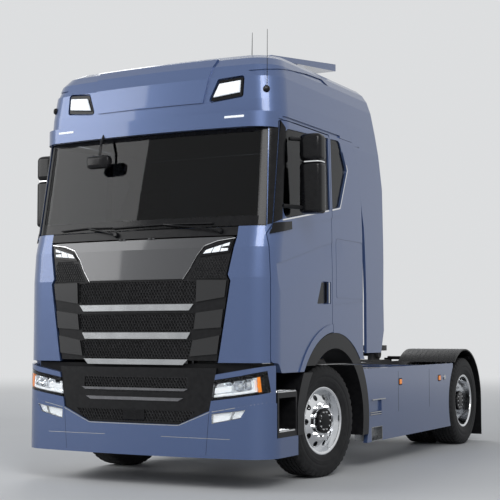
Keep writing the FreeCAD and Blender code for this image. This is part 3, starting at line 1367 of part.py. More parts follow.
def rim_shape(centre_x, disc_x, dish, hub_low, hub_high, bore_radius):
    """A disc wheel: barrel, dished disc with hand holes, and hub."""
    half_width = size.rim_width / 2
    barrel_end = size.rim_radius - size.rim_wall / 2
    rim = tube(size.rim_radius, size.rim_radius - size.rim_wall, centre_x - half_width,
               centre_x + half_width)
    profile = [
        (disc_x, bore_radius), (disc_x, size.disc_flat_radius), (disc_x + dish, barrel_end),
        (disc_x + dish + size.disc_thickness, barrel_end),
        (disc_x + size.disc_thickness, size.disc_flat_radius),
        (disc_x + size.disc_thickness, bore_radius),
    ]
    spots = [Vector(out, 0, radius) for out, radius in profile]
    disc = Part.Face(Part.makePolygon(spots + spots[:1])).revolve(ORIGIN, AXIS_X, FULL_TURN)
    for number in range(int(size.hand_hole_count)):
        angle = math.radians(FULL_TURN * number / size.hand_hole_count)
        spot = Vector(disc_x - size.rim_width, size.hand_hole_circle * math.cos(angle),
                      size.hand_hole_circle * math.sin(angle))
        disc = disc.cut(Part.makeCylinder(size.hand_hole_radius, 2 * size.rim_width, spot, AXIS_X))
    hub = tube(size.hub_radius, bore_radius, hub_low, hub_high)
    return rim.fuse([disc, hub]).removeSplitter()


half_width = size.tyre_width / 2
spindle_bore = size.spindle_radius + size.hub_bore_clearance
rear_bore = size.rear_axle_radius + size.hub_bore_clearance
hub_low = size.kingpin_offset + size.beam_boss_radius + 2 * size.yoke_gap + size.yoke_thickness
hub_high = size.front_track_half + size.hub_length * size.hub_reach_share
front_rim = rim_shape(size.front_track_half, size.front_track_half + size.disc_inset_front, -size.disc_dish,
                      hub_low, hub_high, spindle_bore)
cap = Part.makeCylinder(size.hub_radius, size.disc_thickness, AXIS_X * hub_high, AXIS_X)
front_rim = front_rim.fuse(cap).removeSplitter()
front_tyre = tyre_profile(size.front_track_half)
lift = wheel_centre
for side_name, side_sign in (("left", 1), ("right", -1)):
    for label, shape in (("wheel_front", front_rim), ("tyre_front", front_tyre)):
        placed = shape.translated(lift)
        if side_sign < 0:
            placed = flipped(placed)
        keep_shape(f"{label}_{side_name}", steered(placed, side_sign))

rear_lift = Vector(0, rear_axle, size.tyre_radius)
twin_tyres = Part.makeCompound([tyre_profile(size.twin_inner_x), tyre_profile(size.twin_outer_x)])
middle_x = (size.twin_inner_x + size.twin_outer_x) / 2
inner_rim = rim_shape(size.twin_inner_x, middle_x - size.disc_thickness, -size.disc_dish,
                      middle_x - size.hub_length / 2, middle_x + size.hub_length / 2, rear_bore)
outer_rim = rim_shape(size.twin_outer_x, middle_x, size.disc_dish, middle_x - size.hub_length / 2,
                      size.twin_outer_x + size.hub_length / 2, rear_bore)
rear_cap = Part.makeCylinder(size.hub_radius, size.disc_thickness,
                             AXIS_X * (size.twin_outer_x + size.hub_length / 2), AXIS_X)
twin_rims = inner_rim.fuse([outer_rim, rear_cap]).removeSplitter()
keep_pair("wheel_rear", twin_rims.translated(rear_lift))
keep_pair("tyre_rear", twin_tyres.translated(rear_lift))

# Engine, radiator and side tanks
keep("engine_block", box("engine", ("-engine_half_width", "engine_half_width"),
                         ("front_axle + engine_front", "front_axle + engine_rear"),
                         ("engine_bottom", "engine_top")))
keep("radiator", box("radiator_core", ("-engine_half_width", "engine_half_width"),
                     ("front_axle + radiator_front", "front_axle + radiator_rear"),
                     ("radiator_bottom", "radiator_top")))
tank = plain_box((size.tank_inner, size.tank_outer),
                 (front_axle + size.tank_front, front_axle + size.tank_rear),
                 (size.tank_bottom, size.tank_top))
long_edges = [edge for edge in tank.Edges if abs(edge.tangentAt(edge.FirstParameter).y) > 0.5]
tank = tank.makeFillet(size.tank_edge_radius, long_edges)
strap = plain_box((size.rail_outer + size.fit_gap, size.tank_outer - size.tank_edge_radius),
                  (front_axle + size.tank_front + size.tank_edge_radius,
                   front_axle + size.tank_rear - size.tank_edge_radius),
                  (size.tank_top - size.rail_thickness, size.tank_top + size.rail_thickness))
keep_both("side_tanks", tank.fuse(strap).removeSplitter())

# Fifth wheel: base plate and pedestals on the frame, and the tilting plate
coupling_y = f"front_axle + fifth_wheel_from_axle"
base_plate = box("base_plate", ("-rail_outer", "rail_outer"),
                 (f"{coupling_y} - base_plate_length / 2", f"{coupling_y} + base_plate_length / 2"),
                 ("rail_top + fit_gap", "rail_top + fit_gap + base_plate_thickness"))
pedestals = []
for number, side_text in enumerate(("-", "")):
    inner_x = f"{side_text}pedestal_offset - pedestal_width / 2"
    outer_x = f"{side_text}pedestal_offset + pedestal_width / 2"
    pedestals.append(box(f"pedestal_{number}", (inner_x, outer_x),
                         (f"{coupling_y} - pedestal_length / 2", f"{coupling_y} + pedestal_length / 2"),
                         ("rail_top + fit_gap", "pivot_height")))
    pedestals.append(across(f"pedestal_eye_{number}", "pivot_radius * pivot_eye_share",
                            (inner_x, outer_x), coupling_y, "pivot_height"))
pivot_pins = across("pivot_pins", "pivot_radius",
                    ("-pedestal_offset - pedestal_width / 2 - lug_gap - lug_thickness",
                                             "pedestal_offset + pedestal_width / 2 + lug_gap + lug_thickness"),
              coupling_y, "pivot_height")
keep("fifth_wheel_base", fuse("coupling_base", [base_plate, pivot_pins] + pedestals))

plate_y = front_axle + size.fifth_wheel_from_axle
plate_low = size.fifth_wheel_height - size.fifth_wheel_thickness
disc = Part.makeCylinder(size.fifth_wheel_radius, size.fifth_wheel_thickness, Vector(0, plate_y, plate_low))
throat_y = plate_y + size.kingpin_bore_radius * size.throat_start_share
throat = Part.Face(Part.makePolygon([
    Vector(-size.throat_start, throat_y, plate_low),
    Vector(-size.throat_half_width, plate_y + size.fifth_wheel_radius, plate_low),
    Vector(size.throat_half_width, plate_y + size.fifth_wheel_radius, plate_low),
    Vector(size.throat_start, throat_y, plate_low),
    Vector(-size.throat_start, throat_y, plate_low),
])).extrude(AXIS_Z * size.fifth_wheel_thickness)
bore = Part.makeCylinder(size.kingpin_bore_radius, size.fifth_wheel_thickness,
                         Vector(0, plate_y, plate_low))
plate = disc.cut(throat).cut(bore)
pin_hole = Part.makeCylinder(size.pivot_radius + size.kingpin_clearance, 2 * reach,
                             Vector(-reach, plate_y, size.pivot_height), AXIS_X)
for side_sign in (-1, 1):
    lug_in = size.pedestal_offset + size.pedestal_width / 2 + size.lug_gap
    lug_x = sorted((side_sign * lug_in, side_sign * (lug_in + size.lug_thickness)))
    lug = plain_box(lug_x, (plate_y - 2 * size.pivot_radius, plate_y + 2 * size.pivot_radius),
                    (size.pivot_height, plate_low))
    round_end = Part.makeCylinder(2 * size.pivot_radius, size.lug_thickness,
                                  Vector(lug_x[0], plate_y, size.pivot_height), AXIS_X)
    plate = plate.fuse(lug.fuse(round_end).cut(pin_hole))
keep_shape("fifth_wheel_plate", plate.removeSplitter())

# Rear fenders with mud flaps, and the tail bar with its lamps
fender_x = (size.fender_inner, half)
outer_arc = Part.makeCylinder(size.fender_radius, fender_x[1] - fender_x[0],
                              Vector(fender_x[0], rear_axle, size.tyre_radius), AXIS_X)
inner_arc = Part.makeCylinder(size.fender_radius - size.fender_thickness, fender_x[1] - fender_x[0],
                              Vector(fender_x[0], rear_axle, size.tyre_radius), AXIS_X)
fender = outer_arc.cut(inner_arc)
fender = fender.cut(plain_box((0, reach), (rear_axle - reach, rear_axle),
                              (size.ground - reach, size.fender_front_height)))
fender = fender.cut(plain_box((0, reach), (rear_axle, rear_axle + reach),
                              (size.ground - reach, size.tyre_radius)))
flap_y = rear_axle + size.fender_radius - size.flap_thickness - size.trim_gap
flap = plain_box(fender_x, (flap_y, flap_y + size.flap_thickness),
                 (size.flap_bottom, size.tyre_radius + size.flap_thickness))
fender = fender.fuse(flap)
for end_sign in (-1, 1):
    tube_y = rear_axle + end_sign * size.fender_tube_offset
    arc_radius = size.fender_radius - size.fender_thickness
    under_arc = size.tyre_radius + math.sqrt(arc_radius ** 2 - size.fender_tube_offset ** 2)
    tube_z = under_arc - size.fender_tube_radius
    fender = fender.fuse(Part.makeCylinder(size.fender_tube_radius, half - size.rail_outer,
                                           Vector(size.rail_outer - size.rail_flange / 2, tube_y, tube_z),
                                           AXIS_X))
    foot = plain_box((size.rail_outer - size.rail_flange, size.rail_outer),
                     (tube_y - size.fender_tube_radius, tube_y + size.fender_tube_radius),
                     (size.rail_top + size.fit_gap, tube_z))
    fender = fender.fuse(foot)
keep_both("rear_fenders", fender.removeSplitter())
tail_y = rear_axle + size.rear_overhang - size.tail_depth
tail = plain_box((-size.tail_half_width, size.tail_half_width), (tail_y, tail_y + size.tail_depth),
                 (size.tail_bottom, size.tail_bottom + size.tail_height))
keep_shape("tail_bar", tail)


def mirror_unit():
    """Left door mirror: two housings on a post, with arms to the door frame."""
    centre_y = front_axle + size.mirror_from_axle
    out = (size.mirror_out, size.mirror_out + size.mirror_width)
    depth = (centre_y - size.mirror_depth / 2, centre_y + size.mirror_depth / 2)
    lower = plain_box(out, depth, (size.mirror_bottom, size.mirror_split))
    upper = plain_box(out, depth, (size.mirror_split + size.seam_gap, size.mirror_top))
    housings = []
    for housing in (lower, upper):
        uprights = [edge for edge in housing.Edges if abs(edge.tangentAt(edge.FirstParameter).z) > 0.5]
        housings.append(housing.makeFillet(size.mirror_corner_radius, uprights))
    return housings


def arm_to_door(height, inner_y):
    """A straight mirror arm from the door's skin into the housing."""
    start = Vector(size.body_half_width * size.arm_seat_share, inner_y, height)
    end = Vector(size.mirror_out + size.mirror_corner_radius, front_axle + size.mirror_from_axle, height)
    return Part.makeCylinder(size.mirror_arm_radius, (end - start).Length, start, end - start)


arm_low = arm_to_door(size.mirror_bottom + size.mirror_corner_radius,
                      front_axle + size.dash_rear - size.cab_corner_radius)
arm_high = arm_to_door(size.mirror_top - size.mirror_corner_radius,
                       front_axle + size.dash_rear - size.cab_corner_radius / 2)
mirror = mirror_unit()[0].fuse([mirror_unit()[1], arm_low, arm_high,
                                Part.makeCylinder(size.mirror_arm_radius,
                                                  size.mirror_top - size.mirror_bottom - 2 * size.mirror_corner_radius,
                                                  Vector(size.mirror_out + size.mirror_width / 2,
                                                         front_axle + size.mirror_from_axle,
                                                         size.mirror_bottom + size.mirror_corner_radius))])
flare_space = skin(-size.flare_proud - size.fit_gap, 0).common(
    side_block(side_points(FLARE_SHARES), 0, reach, size.door_corner_radius, size.fit_gap))
mirror = mirror.cut(envelope(-size.fit_gap)).cut(flare_space)
keep_pair("mirror", max(mirror.Solids, key=lambda solid: solid.Volume))

document.recompute()
faults = []
for thing in document.Objects:
    if "Invalid" in thing.State or "Error" in thing.State:
        faults.append(f"{thing.Label}: {thing.State}")
for name, thing in nodes.items():
    if thing.Shape.isNull() or not thing.Shape.isValid() or not thing.Shape.Solids:
        faults.append(f"{name}: bad shape")
if faults:
    raise RuntimeError("; ".join(faults))

os.makedirs("parts", exist_ok=True)
for name, thing in nodes.items():
    thing.Shape.exportStep(f"parts/{name}.step")
    bounds = thing.Shape.BoundBox
    print(name, len(thing.Shape.Solids), [round(bounds.XMin), round(bounds.XMax), round(bounds.YMin),
          round(bounds.YMax), round(bounds.ZMin), round(bounds.ZMax)], round(thing.Shape.Volume / 1e6, 2))
print("pieces", len(nodes))
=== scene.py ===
import bpy
import numpy as np
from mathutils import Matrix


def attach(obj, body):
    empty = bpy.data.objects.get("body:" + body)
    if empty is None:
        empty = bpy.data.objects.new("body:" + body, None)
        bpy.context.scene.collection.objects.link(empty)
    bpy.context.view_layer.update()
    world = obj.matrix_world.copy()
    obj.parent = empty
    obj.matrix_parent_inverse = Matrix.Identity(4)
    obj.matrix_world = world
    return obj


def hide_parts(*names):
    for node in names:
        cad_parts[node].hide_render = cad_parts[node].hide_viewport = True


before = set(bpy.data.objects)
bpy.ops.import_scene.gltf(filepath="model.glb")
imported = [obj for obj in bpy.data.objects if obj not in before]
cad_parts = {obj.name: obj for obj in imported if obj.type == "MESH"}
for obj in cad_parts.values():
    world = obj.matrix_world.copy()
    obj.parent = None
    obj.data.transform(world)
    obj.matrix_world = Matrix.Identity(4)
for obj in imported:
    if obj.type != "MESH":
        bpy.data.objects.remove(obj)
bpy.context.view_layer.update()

# Studio: the truck stands on a pale floor under three broad soft lamps and an even sky.
# The camera is a long lens at chest height, left of the truck's nose.
camera = bpy.data.objects.new("camera", bpy.data.cameras.new("camera"))
camera.data.lens = 86.16
camera.data.sensor_width = 36
camera.location = (5.700, -11.448, 1.277)
camera.rotation_euler = np.radians((94.04, 0.0, 28.17))
bpy.context.collection.objects.link(camera)
bpy.context.scene.camera = camera
bpy.context.scene.view_settings.view_transform = "Standard"


def soft_lamp(name, place, aim, size, watts):
    """A square area lamp at place that faces aim."""
    lamp = bpy.data.objects.new(name, bpy.data.lights.new(name, "AREA"))
    lamp.data.size = size
    lamp.data.energy = watts
    lamp.location = place
    direction = np.subtract(aim, place)
    yaw = np.arctan2(direction[1], direction[0]) - np.pi / 2
    tilt = np.pi / 2 + np.arctan2(direction[2], np.hypot(direction[0], direction[1]))
    lamp.rotation_euler = (tilt, 0.0, yaw)
    bpy.context.collection.objects.link(lamp)


soft_lamp("key_lamp", (8.0, -10.0, 8.5), (0.0, 0.0, 1.8), 6.0, 800)
soft_lamp("fill_lamp", (-9.0, -9.0, 6.0), (0.0, 0.0, 1.6), 7.0, 500)
soft_lamp("rear_lamp", (-7.0, 10.0, 8.0), (0.0, 0.0, 1.8), 6.0, 300)

world = bpy.data.worlds.new("sky")
world.use_nodes = True
bpy.context.scene.world = world
sky = world.node_tree
sky.nodes.clear()


def added(near, kind, **inputs):
    """A new shader node in the tree that near belongs to; inputs are set, with _ for a blank."""
    made = near.id_data.nodes.new("ShaderNode" + kind)
    for name, value in inputs.items():
        made.inputs[name.replace("_", " ")].default_value = value
    return made


def join(source, target):
    """Links two sockets of one node tree."""
    source.id_data.links.new(source, target)


# Rays that leave the camera, directly or by way of glass and bright metal, see the horizon's
# colour; the others are lit by the darker even sky.
horizon_colour = (0.72, 0.73, 0.74, 1.0)
light_path = added(sky, "LightPath")
seen = light_path.outputs["Is Camera Ray"]
for ray in ("Is Transmission Ray", "Is Glossy Ray"):
    larger = added(sky, "Math")
    larger.operation = "MAXIMUM"
    join(seen, larger.inputs[0])
    join(light_path.outputs[ray], larger.inputs[1])
    seen = larger.outputs[0]
even = added(sky, "Background", Color=(0.50, 0.52, 0.55, 1.0), Strength=0.55)
pale = added(sky, "Background", Color=horizon_colour)
mixed = added(sky, "MixShader")
join(seen, mixed.inputs["Fac"])
join(even.outputs[0], mixed.inputs[1])
join(pale.outputs[0], mixed.inputs[2])
join(mixed.outputs[0], added(sky, "OutputWorld").inputs["Surface"])


def linked(name, points, faces, material):
    """A mesh object from rows of points and lists of corner numbers, in metres in the truck's frame."""
    mesh = bpy.data.meshes.new(name)
    mesh.from_pydata(np.asarray(points, float).reshape(-1, 3).tolist(), [], faces)
    mesh.update()
    mesh.materials.append(material)
    piece = bpy.data.objects.new(name, mesh)
    bpy.context.collection.objects.link(piece)
    return piece


def finish_nodes(name, colour, roughness, metallic=0.0):
    """A principled material; returns it with its shader and the object's own coordinates."""
    material = bpy.data.materials.new(name)
    material.use_nodes = True
    shader = material.node_tree.nodes["Principled BSDF"]
    shader.inputs["Base Color"].default_value = (*colour, 1.0)
    shader.inputs["Roughness"].default_value = roughness
    shader.inputs["Metallic"].default_value = metallic
    return material, shader, added(shader, "TexCoord").outputs["Object"]


def noise(place, scale, detail=4.0):
    """A noise value over the object's own coordinates, scale in cells a metre."""
    texture = added(place, "TexNoise", Scale=scale, Detail=detail)
    join(place, texture.inputs["Vector"])
    return texture.outputs["Fac"]


def colour_by(shader, value, low, high, low_at=0.3, high_at=0.7):
    """Colours a surface from low to high as a value runs from low_at to high_at."""
    steps = added(shader, "ValToRGB")
    for end, at, colour in ((0, low_at, low), (1, high_at, high)):
        steps.color_ramp.elements[end].position = at
        steps.color_ramp.elements[end].color = (*colour, 1.0)
    join(value, steps.inputs["Fac"])
    join(steps.outputs["Color"], shader.inputs["Base Color"])


# The floor is a wide pale disc that fades into the sky's colour well behind the truck.
floor_finish, shader, place = finish_nodes("floor_finish", (0.62, 0.63, 0.64), 0.6)
colour_by(shader, noise(place, 0.4, 2.0), (0.60, 0.61, 0.62), (0.66, 0.67, 0.68), 0.0, 1.0)
far_glow = added(shader, "Emission", Color=horizon_colour)
away = added(shader, "VectorMath")
away.operation = "LENGTH"
fade = added(shader, "MapRange", From_Min=5.0, From_Max=26.0)
fade.interpolation_type = "SMOOTHSTEP"
blended = added(shader, "MixShader")
join(place, away.inputs[0])
join(away.outputs["Value"], fade.inputs["Value"])
join(fade.outputs["Result"], blended.inputs["Fac"])
join(shader.outputs["BSDF"], blended.inputs[1])
join(far_glow.outputs["Emission"], blended.inputs[2])
join(blended.outputs["Shader"], floor_finish.node_tree.nodes["Material Output"].inputs["Surface"])
floor_radius, floor_z = 90.0, -0.001
turn = np.linspace(0.0, 2 * np.pi, 97)[:-1]
rim_points = np.c_[floor_radius * np.cos(turn), floor_radius * np.sin(turn), np.full(turn.size, floor_z)]
linked("floor", rim_points, [list(range(turn.size))], floor_finish)


# Chassis frame, axles and springs: pressed steel in satin dark grey paint with a fine grain,
# rougher iron for the forged and cast parts, and plain metal for the tanks and the radiator.
def bump(shader, value, strength, distance):
    """Raises the surface by a value times distance, in metres."""
    raised = added(shader, "Bump", Strength=strength, Distance=distance)
    join(value, raised.inputs["Height"])
    join(raised.outputs["Normal"], shader.inputs["Normal"])


def spread(value, low, high):
    """A value from 0..1 moved to low..high."""
    mapped = added(value, "MapRange", To_Min=low, To_Max=high)
    join(value, mapped.inputs["Value"])
    return mapped.outputs["Result"]


def grained(name, low, high, roughness, metallic=0.0, scale=40.0, grain=400.0, depth=0.0004,
            strength=0.3):
    """Paint or plastic whose colour drifts between low and high, with fine grain raised on it."""
    material, shader, place = finish_nodes(name, low, roughness, metallic)
    drift = noise(place, scale)
    colour_by(shader, drift, low, high)
    join(spread(drift, roughness * 0.8, roughness * 1.2), shader.inputs["Roughness"])
    bump(shader, noise(place, grain), strength, depth)
    return material


def dress(material, *names):
    """Puts a material on CAD nodes in place of the one they came with."""
    for name in names:
        for place_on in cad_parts[name].material_slots:
            place_on.link = "DATA"
            place_on.material = material


frame_paint = grained("frame_paint", (0.055, 0.056, 0.060), (0.085, 0.086, 0.090), 0.45)
forged_iron = grained("forged_iron", (0.06, 0.06, 0.062), (0.12, 0.115, 0.11), 0.6, 0.4, 14.0, 220.0,
                      0.0010)
dress(frame_paint, "chassis_frame", "front_axle", "front_springs", "rear_suspension")
dress(forged_iron, "rear_axle", "knuckle_left", "knuckle_right", "tie_rod", "engine_block",
      "fifth_wheel_base", "fifth_wheel_plate")
tank_metal = grained("tank_metal", (0.42, 0.43, 0.45), (0.55, 0.56, 0.58), 0.35, 0.9, 3.0, 90.0,
                     0.0002)
dress(tank_metal, "side_tanks", "radiator")


# Tyres: black rubber with five tread grooves, notched shoulder blocks and ribbed sidewalls.
# Each is one moulding, turned about the axle; the front pair rests turned to the right.
def shell(name, rings, material, body, closed=False, ends=True, facing=None, soft=0.6):
    """Quads between neighbouring rings of points, with flat ends; a stack of sets makes copies.

    Rings are (m, n, 3), or (k, m, n, 3) for k copies. Each copy is turned so that its faces point
    outwards, by the sign of its volume, or towards facing where it is an open surface.
    """
    stack = np.asarray(rings, float)
    stack = stack if stack.ndim == 4 else stack[None]
    copies, m, n, _ = stack.shape
    i, j = np.meshgrid(np.arange(m if closed else m - 1), np.arange(n), indexing="ij")
    near, far, after = i * n, (i + 1) % m * n, (j + 1) % n
    quads = np.stack([near + j, near + after, far + after, far + j], -1).reshape(-1, 4)
    flat = stack.reshape(copies, m * n, 3)
    corner = flat[:, quads]
    cross = np.cross(corner[:, :, 2] - corner[:, :, 0], corner[:, :, 3] - corner[:, :, 1])
    if facing is None:
        centred = corner.mean(2) - flat.mean(1)[:, None]
        sign = np.einsum("kqa,kqa->k", cross, centred)
    else:
        sign = np.einsum("kqa,a->k", cross, np.asarray(facing, float))
    faces = []
    for copy in range(copies):
        order = quads if sign[copy] > 0 else quads[:, ::-1]
        faces += (order + copy * m * n).tolist()
        if ends and not closed:
            first = np.arange(n) + copy * m * n
            last = first + (m - 1) * n
            caps = [first[::-1], last] if sign[copy] > 0 else [first, last[::-1]]
            faces += [cap.tolist() for cap in caps]
    piece = linked(name, flat, faces, material)
    if soft:
        piece.data.shade_smooth()
        piece.data.set_sharp_from_angle(angle=soft)
    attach(piece, body)
    return piece


def turned(profile, centre, axis, steps):
    """Rings of a profile of (along, radius) rows, turned about an axis through centre."""
    axis = np.asarray(axis, float) / np.linalg.norm(axis)
    side = np.cross(axis, (0.0, 0.0, 1.0) if abs(axis[2]) < 0.9 else (1.0, 0.0, 0.0))
    side /= np.linalg.norm(side)
    up = np.cross(side, axis)
    angle = np.linspace(0.0, 2 * np.pi, steps + 1)[:-1]
    around = np.cos(angle)[:, None] * side + np.sin(angle)[:, None] * up
    profile = np.asarray(profile, float)
    return (np.asarray(centre, float) + profile[:, 0, None, None] * axis
            + profile[:, 1, None, None] * around[None])


front_axle_y, rear_axle_y, wheel_z = -1.520, 2.230, 0.502
front_tyre_x, inner_tyre_x, outer_tyre_x = 1.020, 0.740, 1.085
kingpin_x = 0.890
wheel_turn = np.radians(-9.1)
both_sides = ((1.0, "left"), (-1.0, "right"))


def steered(points, sign):
    """Points turned about the kingpin of one side by the angle at which the front wheels rest."""
    points = np.asarray(points, float)
    pivot = np.array((sign * kingpin_x, front_axle_y, 0.0))
    spin = np.array([[np.cos(wheel_turn), np.sin(wheel_turn), 0.0],
                     [-np.sin(wheel_turn), np.cos(wheel_turn), 0.0], [0.0, 0.0, 1.0]])
    return (points - pivot) @ spin + pivot


sidewall = np.array([
    (0.119, 0.2926), (0.124, 0.299), (0.138, 0.306), (0.146, 0.320), (0.151, 0.338), (0.1535, 0.358),
    (0.1542, 0.359), (0.1550, 0.375), (0.1558, 0.390), (0.1545, 0.393), (0.1545, 0.397),
    (0.1558, 0.400), (0.1555, 0.420), (0.1540, 0.432), (0.1525, 0.436), (0.1530, 0.440),
    (0.1500, 0.452), (0.1455, 0.466), (0.1405, 0.480), (0.1370, 0.488), (0.1320, 0.4965),
    (0.1250, 0.5005),
])
groove_spots = (0.088, 0.044, 0.0, -0.044, -0.088)
tread_radius, groove_half, groove_deep = 0.5015, 0.0055, 0.013
tread = [(spot + side, radius) for spot in groove_spots for side, radius in (
    (groove_half, tread_radius), (groove_half, tread_radius - groove_deep),
    (-groove_half, tread_radius - groove_deep), (-groove_half, tread_radius))]
tyre_profile = np.r_[sidewall, tread, sidewall[::-1] * (-1.0, 1.0)]


def tyre_rings(centre, sign):
    """A tyre's rings: its profile turned about the axle, with notches cut across both shoulders."""
    steps, shoulder_x, notch_deep, sipe_deep = 288, 0.094, 0.010, 0.0035
    rings = turned(tyre_profile, (0.0, 0.0, 0.0), (1.0, 0.0, 0.0), steps)
    along, radius = tyre_profile[:, 0], tyre_profile[:, 1]
    shoulder = (np.abs(along) > shoulder_x) & (radius > 0.478)
    notch = np.arange(steps) % 6 < 1.5
    inner = (np.abs(along) <= shoulder_x) & (radius > 0.4965)
    sipe = np.arange(steps) % 8 == 0
    depth = notch_deep * shoulder[:, None] * notch[None] + sipe_deep * inner[:, None] * sipe[None]
    rings[..., 1:] *= (1.0 - depth / radius[:, None])[..., None]
    return rings * (sign, 1.0, 1.0) + centre


rubber = grained("rubber", (0.010, 0.010, 0.011), (0.022, 0.022, 0.023), 0.62, 0.0, 18.0, 500.0,
                 0.0006)
polished_alloy = grained("polished_alloy", (0.72, 0.73, 0.75), (0.86, 0.87, 0.88), 0.13, 1.0, 5.0,
                         60.0, 0.0002)
black_gloss = grained("black_gloss", (0.004, 0.004, 0.005), (0.008, 0.008, 0.009), 0.16, 0.0, 20.0,
                      300.0, 0.0001)
chrome = grained("chrome", (0.80, 0.81, 0.82), (0.88, 0.88, 0.89), 0.06, 1.0, 6.0, 120.0, 0.0001)
for sign, side in both_sides:
    front = tyre_rings((sign * front_tyre_x, front_axle_y, wheel_z), sign)
    tyre = shell("tyre_tread_front_" + side, steered(front, sign), rubber, "wheel_front_" + side,
                 closed=True, soft=0.5)
    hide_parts("tyre_front_" + side)
    twins = [tyre_rings((sign * x, rear_axle_y, wheel_z), sign) for x in (inner_tyre_x, outer_tyre_x)]
    tyre = shell("tyre_tread_rear_" + side, twins, rubber, "wheel_rear_" + side,
                 closed=True, soft=0.5)
    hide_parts("tyre_rear_" + side)
    dress(polished_alloy, "wheel_front_" + side, "wheel_rear_" + side)

# Wheels: forged and polished alloy discs. Each has a rolled rim flange, ten hexagon nuts on
# long collars, and a black hub cover; the hand holes are in the part itself.
flange_profile = [(0.1245, 0.279), (0.127, 0.2765), (0.131, 0.278), (0.135, 0.286), (0.1385, 0.298),
                  (0.1370, 0.303), (0.1335, 0.303), (0.1300, 0.297), (0.1250, 0.2925)]
nut_profile = [(0.0, 0.0195), (0.004, 0.0195), (0.005, 0.0165), (0.024, 0.0165), (0.027, 0.0135),
               (0.030, 0.0090), (0.030, 0.0010)]
hub_profile = [(-0.030, 0.1105), (0.004, 0.1105), (0.007, 0.1085), (0.008, 0.094), (0.004, 0.090),
               (0.004, 0.070), (0.010, 0.066), (0.012, 0.030), (0.012, 0.001)]
cover_bolt = [(0.0, 0.0085), (0.006, 0.0085), (0.008, 0.0060), (0.008, 0.0010)]
nut_circle, nut_start, bolt_circle, bolt_proud = 0.1425, 0.314, 0.080, 0.004


def ring_of(rings, centre, radius, count, start=0.0):
    """Copies of rings, set in a circle of a radius about an axle through centre."""
    angle = start + np.arange(count) * 2 * np.pi / count
    away = np.c_[np.zeros(count), radius * np.cos(angle), radius * np.sin(angle)]
    return rings[None] + (away + centre)[:, None, None]


def black(name, rings, body="cab"):
    """A piece of black gloss plastic."""
    shell(name, rings, black_gloss, body)


for sign, side in both_sides:
    outward = (sign, 0.0, 0.0)
    hex_nut = turned(nut_profile, (0.0, 0.0, 0.0), outward, 6)
    stud = turned(cover_bolt, (0.0, 0.0, 0.0), outward, 6)
    for end, y, flange_x, disc_x, hub_x in (("front_", front_axle_y, front_tyre_x, 1.1365, 1.172),
                                            ("rear_", rear_axle_y, outer_tyre_x, 0.929, 1.177)):
        spot, body = end + side, "wheel_" + end + side
        flange = turned(flange_profile, (sign * flange_x, y, wheel_z), outward, 96)
        nuts = ring_of(hex_nut, (sign * disc_x, y, wheel_z), nut_circle, 10, nut_start)
        cover = turned(hub_profile, (sign * hub_x, y, wheel_z), outward, 72)
        studs = ring_of(stud, (sign * (hub_x + bolt_proud), y, wheel_z), bolt_circle, 10)
        if end == "front_":
            flange, nuts, cover, studs = [steered(rings, sign) for rings in (flange, nuts, cover, studs)]
        shell("rim_flange_" + spot, flange, polished_alloy, body, closed=True)
        shell("wheel_nuts_" + spot, nuts, chrome, body, soft=0.4)
        black("hub_cover_" + spot, cover, body)
        shell("hub_bolts_" + spot, studs, chrome, body, soft=0.4)


# Painted panels: metallic blue with a lilac tone under clear lacquer, and a grey hatch that is
# black below the hood's edge. Flakes glint in the base coat; the lacquer has a faint orange peel.
def lacquered(name, low, high, metallic, roughness):
    """A flaked base coat between two colours under a smooth clear coat."""
    material, shader, place = finish_nodes(name, low, roughness, metallic)
    flakes = added(shader, "TexVoronoi", Scale=900.0)
    join(place, flakes.inputs["Vector"])
    colour_by(shader, flakes.outputs["Distance"], high, low, 0.0, 0.6)
    shader.inputs["Coat Weight"].default_value = 0.8
    shader.inputs["Coat Roughness"].default_value = 0.06
    bump(shader, noise(place, 70.0), 0.05, 0.0008)
    return material, shader, place


blue_paint, _, _ = lacquered("blue_paint", (0.062, 0.104, 0.235), (0.115, 0.172, 0.340), 0.45, 0.36)
dress(blue_paint, "bumper", "side_skirts", "cab_floor", "cab_rear_wall", "cab_side_left",
      "cab_side_right", "cab_roof", "cab_corner_left", "cab_corner_right", "sun_visor",
      "side_deflectors", "roof_spoiler", "door_left", "door_right")
hood_edge_z = 1.7405
grey_paint, shader, place = lacquered("grey_paint", (0.045, 0.046, 0.050), (0.085, 0.086, 0.090),
                                      0.4, 0.35)
height = added(shader, "SeparateXYZ")
join(place, height.inputs[0])
below = added(shader, "Math")
below.operation = "LESS_THAN"
below.inputs[1].default_value = hood_edge_z
join(height.outputs["Z"], below.inputs[0])
fins = added(shader, "MixRGB", Color2=(0.006, 0.006, 0.007, 1.0))
join(below.outputs[0], fins.inputs["Fac"])
join(shader.inputs["Base Color"].links[0].from_socket, fins.inputs["Color1"])
join(fins.outputs["Color"], shader.inputs["Base Color"])
dress(grey_paint, "front_hatch")
black_moulding = grained("black_moulding", (0.006, 0.006, 0.007), (0.012, 0.012, 0.013), 0.36, 0.0,
                         30.0, 900.0, 0.0003)
dress(black_moulding, "lower_grille", "lower_arches", "upper_arches", "rear_fenders", "cab_cowl",
      "steps", "grille_mesh")
# Silver for real trims and frames, and also for thin strips that are painted highlights on the bumper
# and the door handles.
silver_trim_and_highlights = grained("silver_trim_and_highlights", (0.42, 0.43, 0.44), (0.50, 0.51, 0.52), 0.24, 0.85, 8.0, 300.0,
                      0.0001)
dress(silver_trim_and_highlights, "grille_bars", "exhaust_outlet")

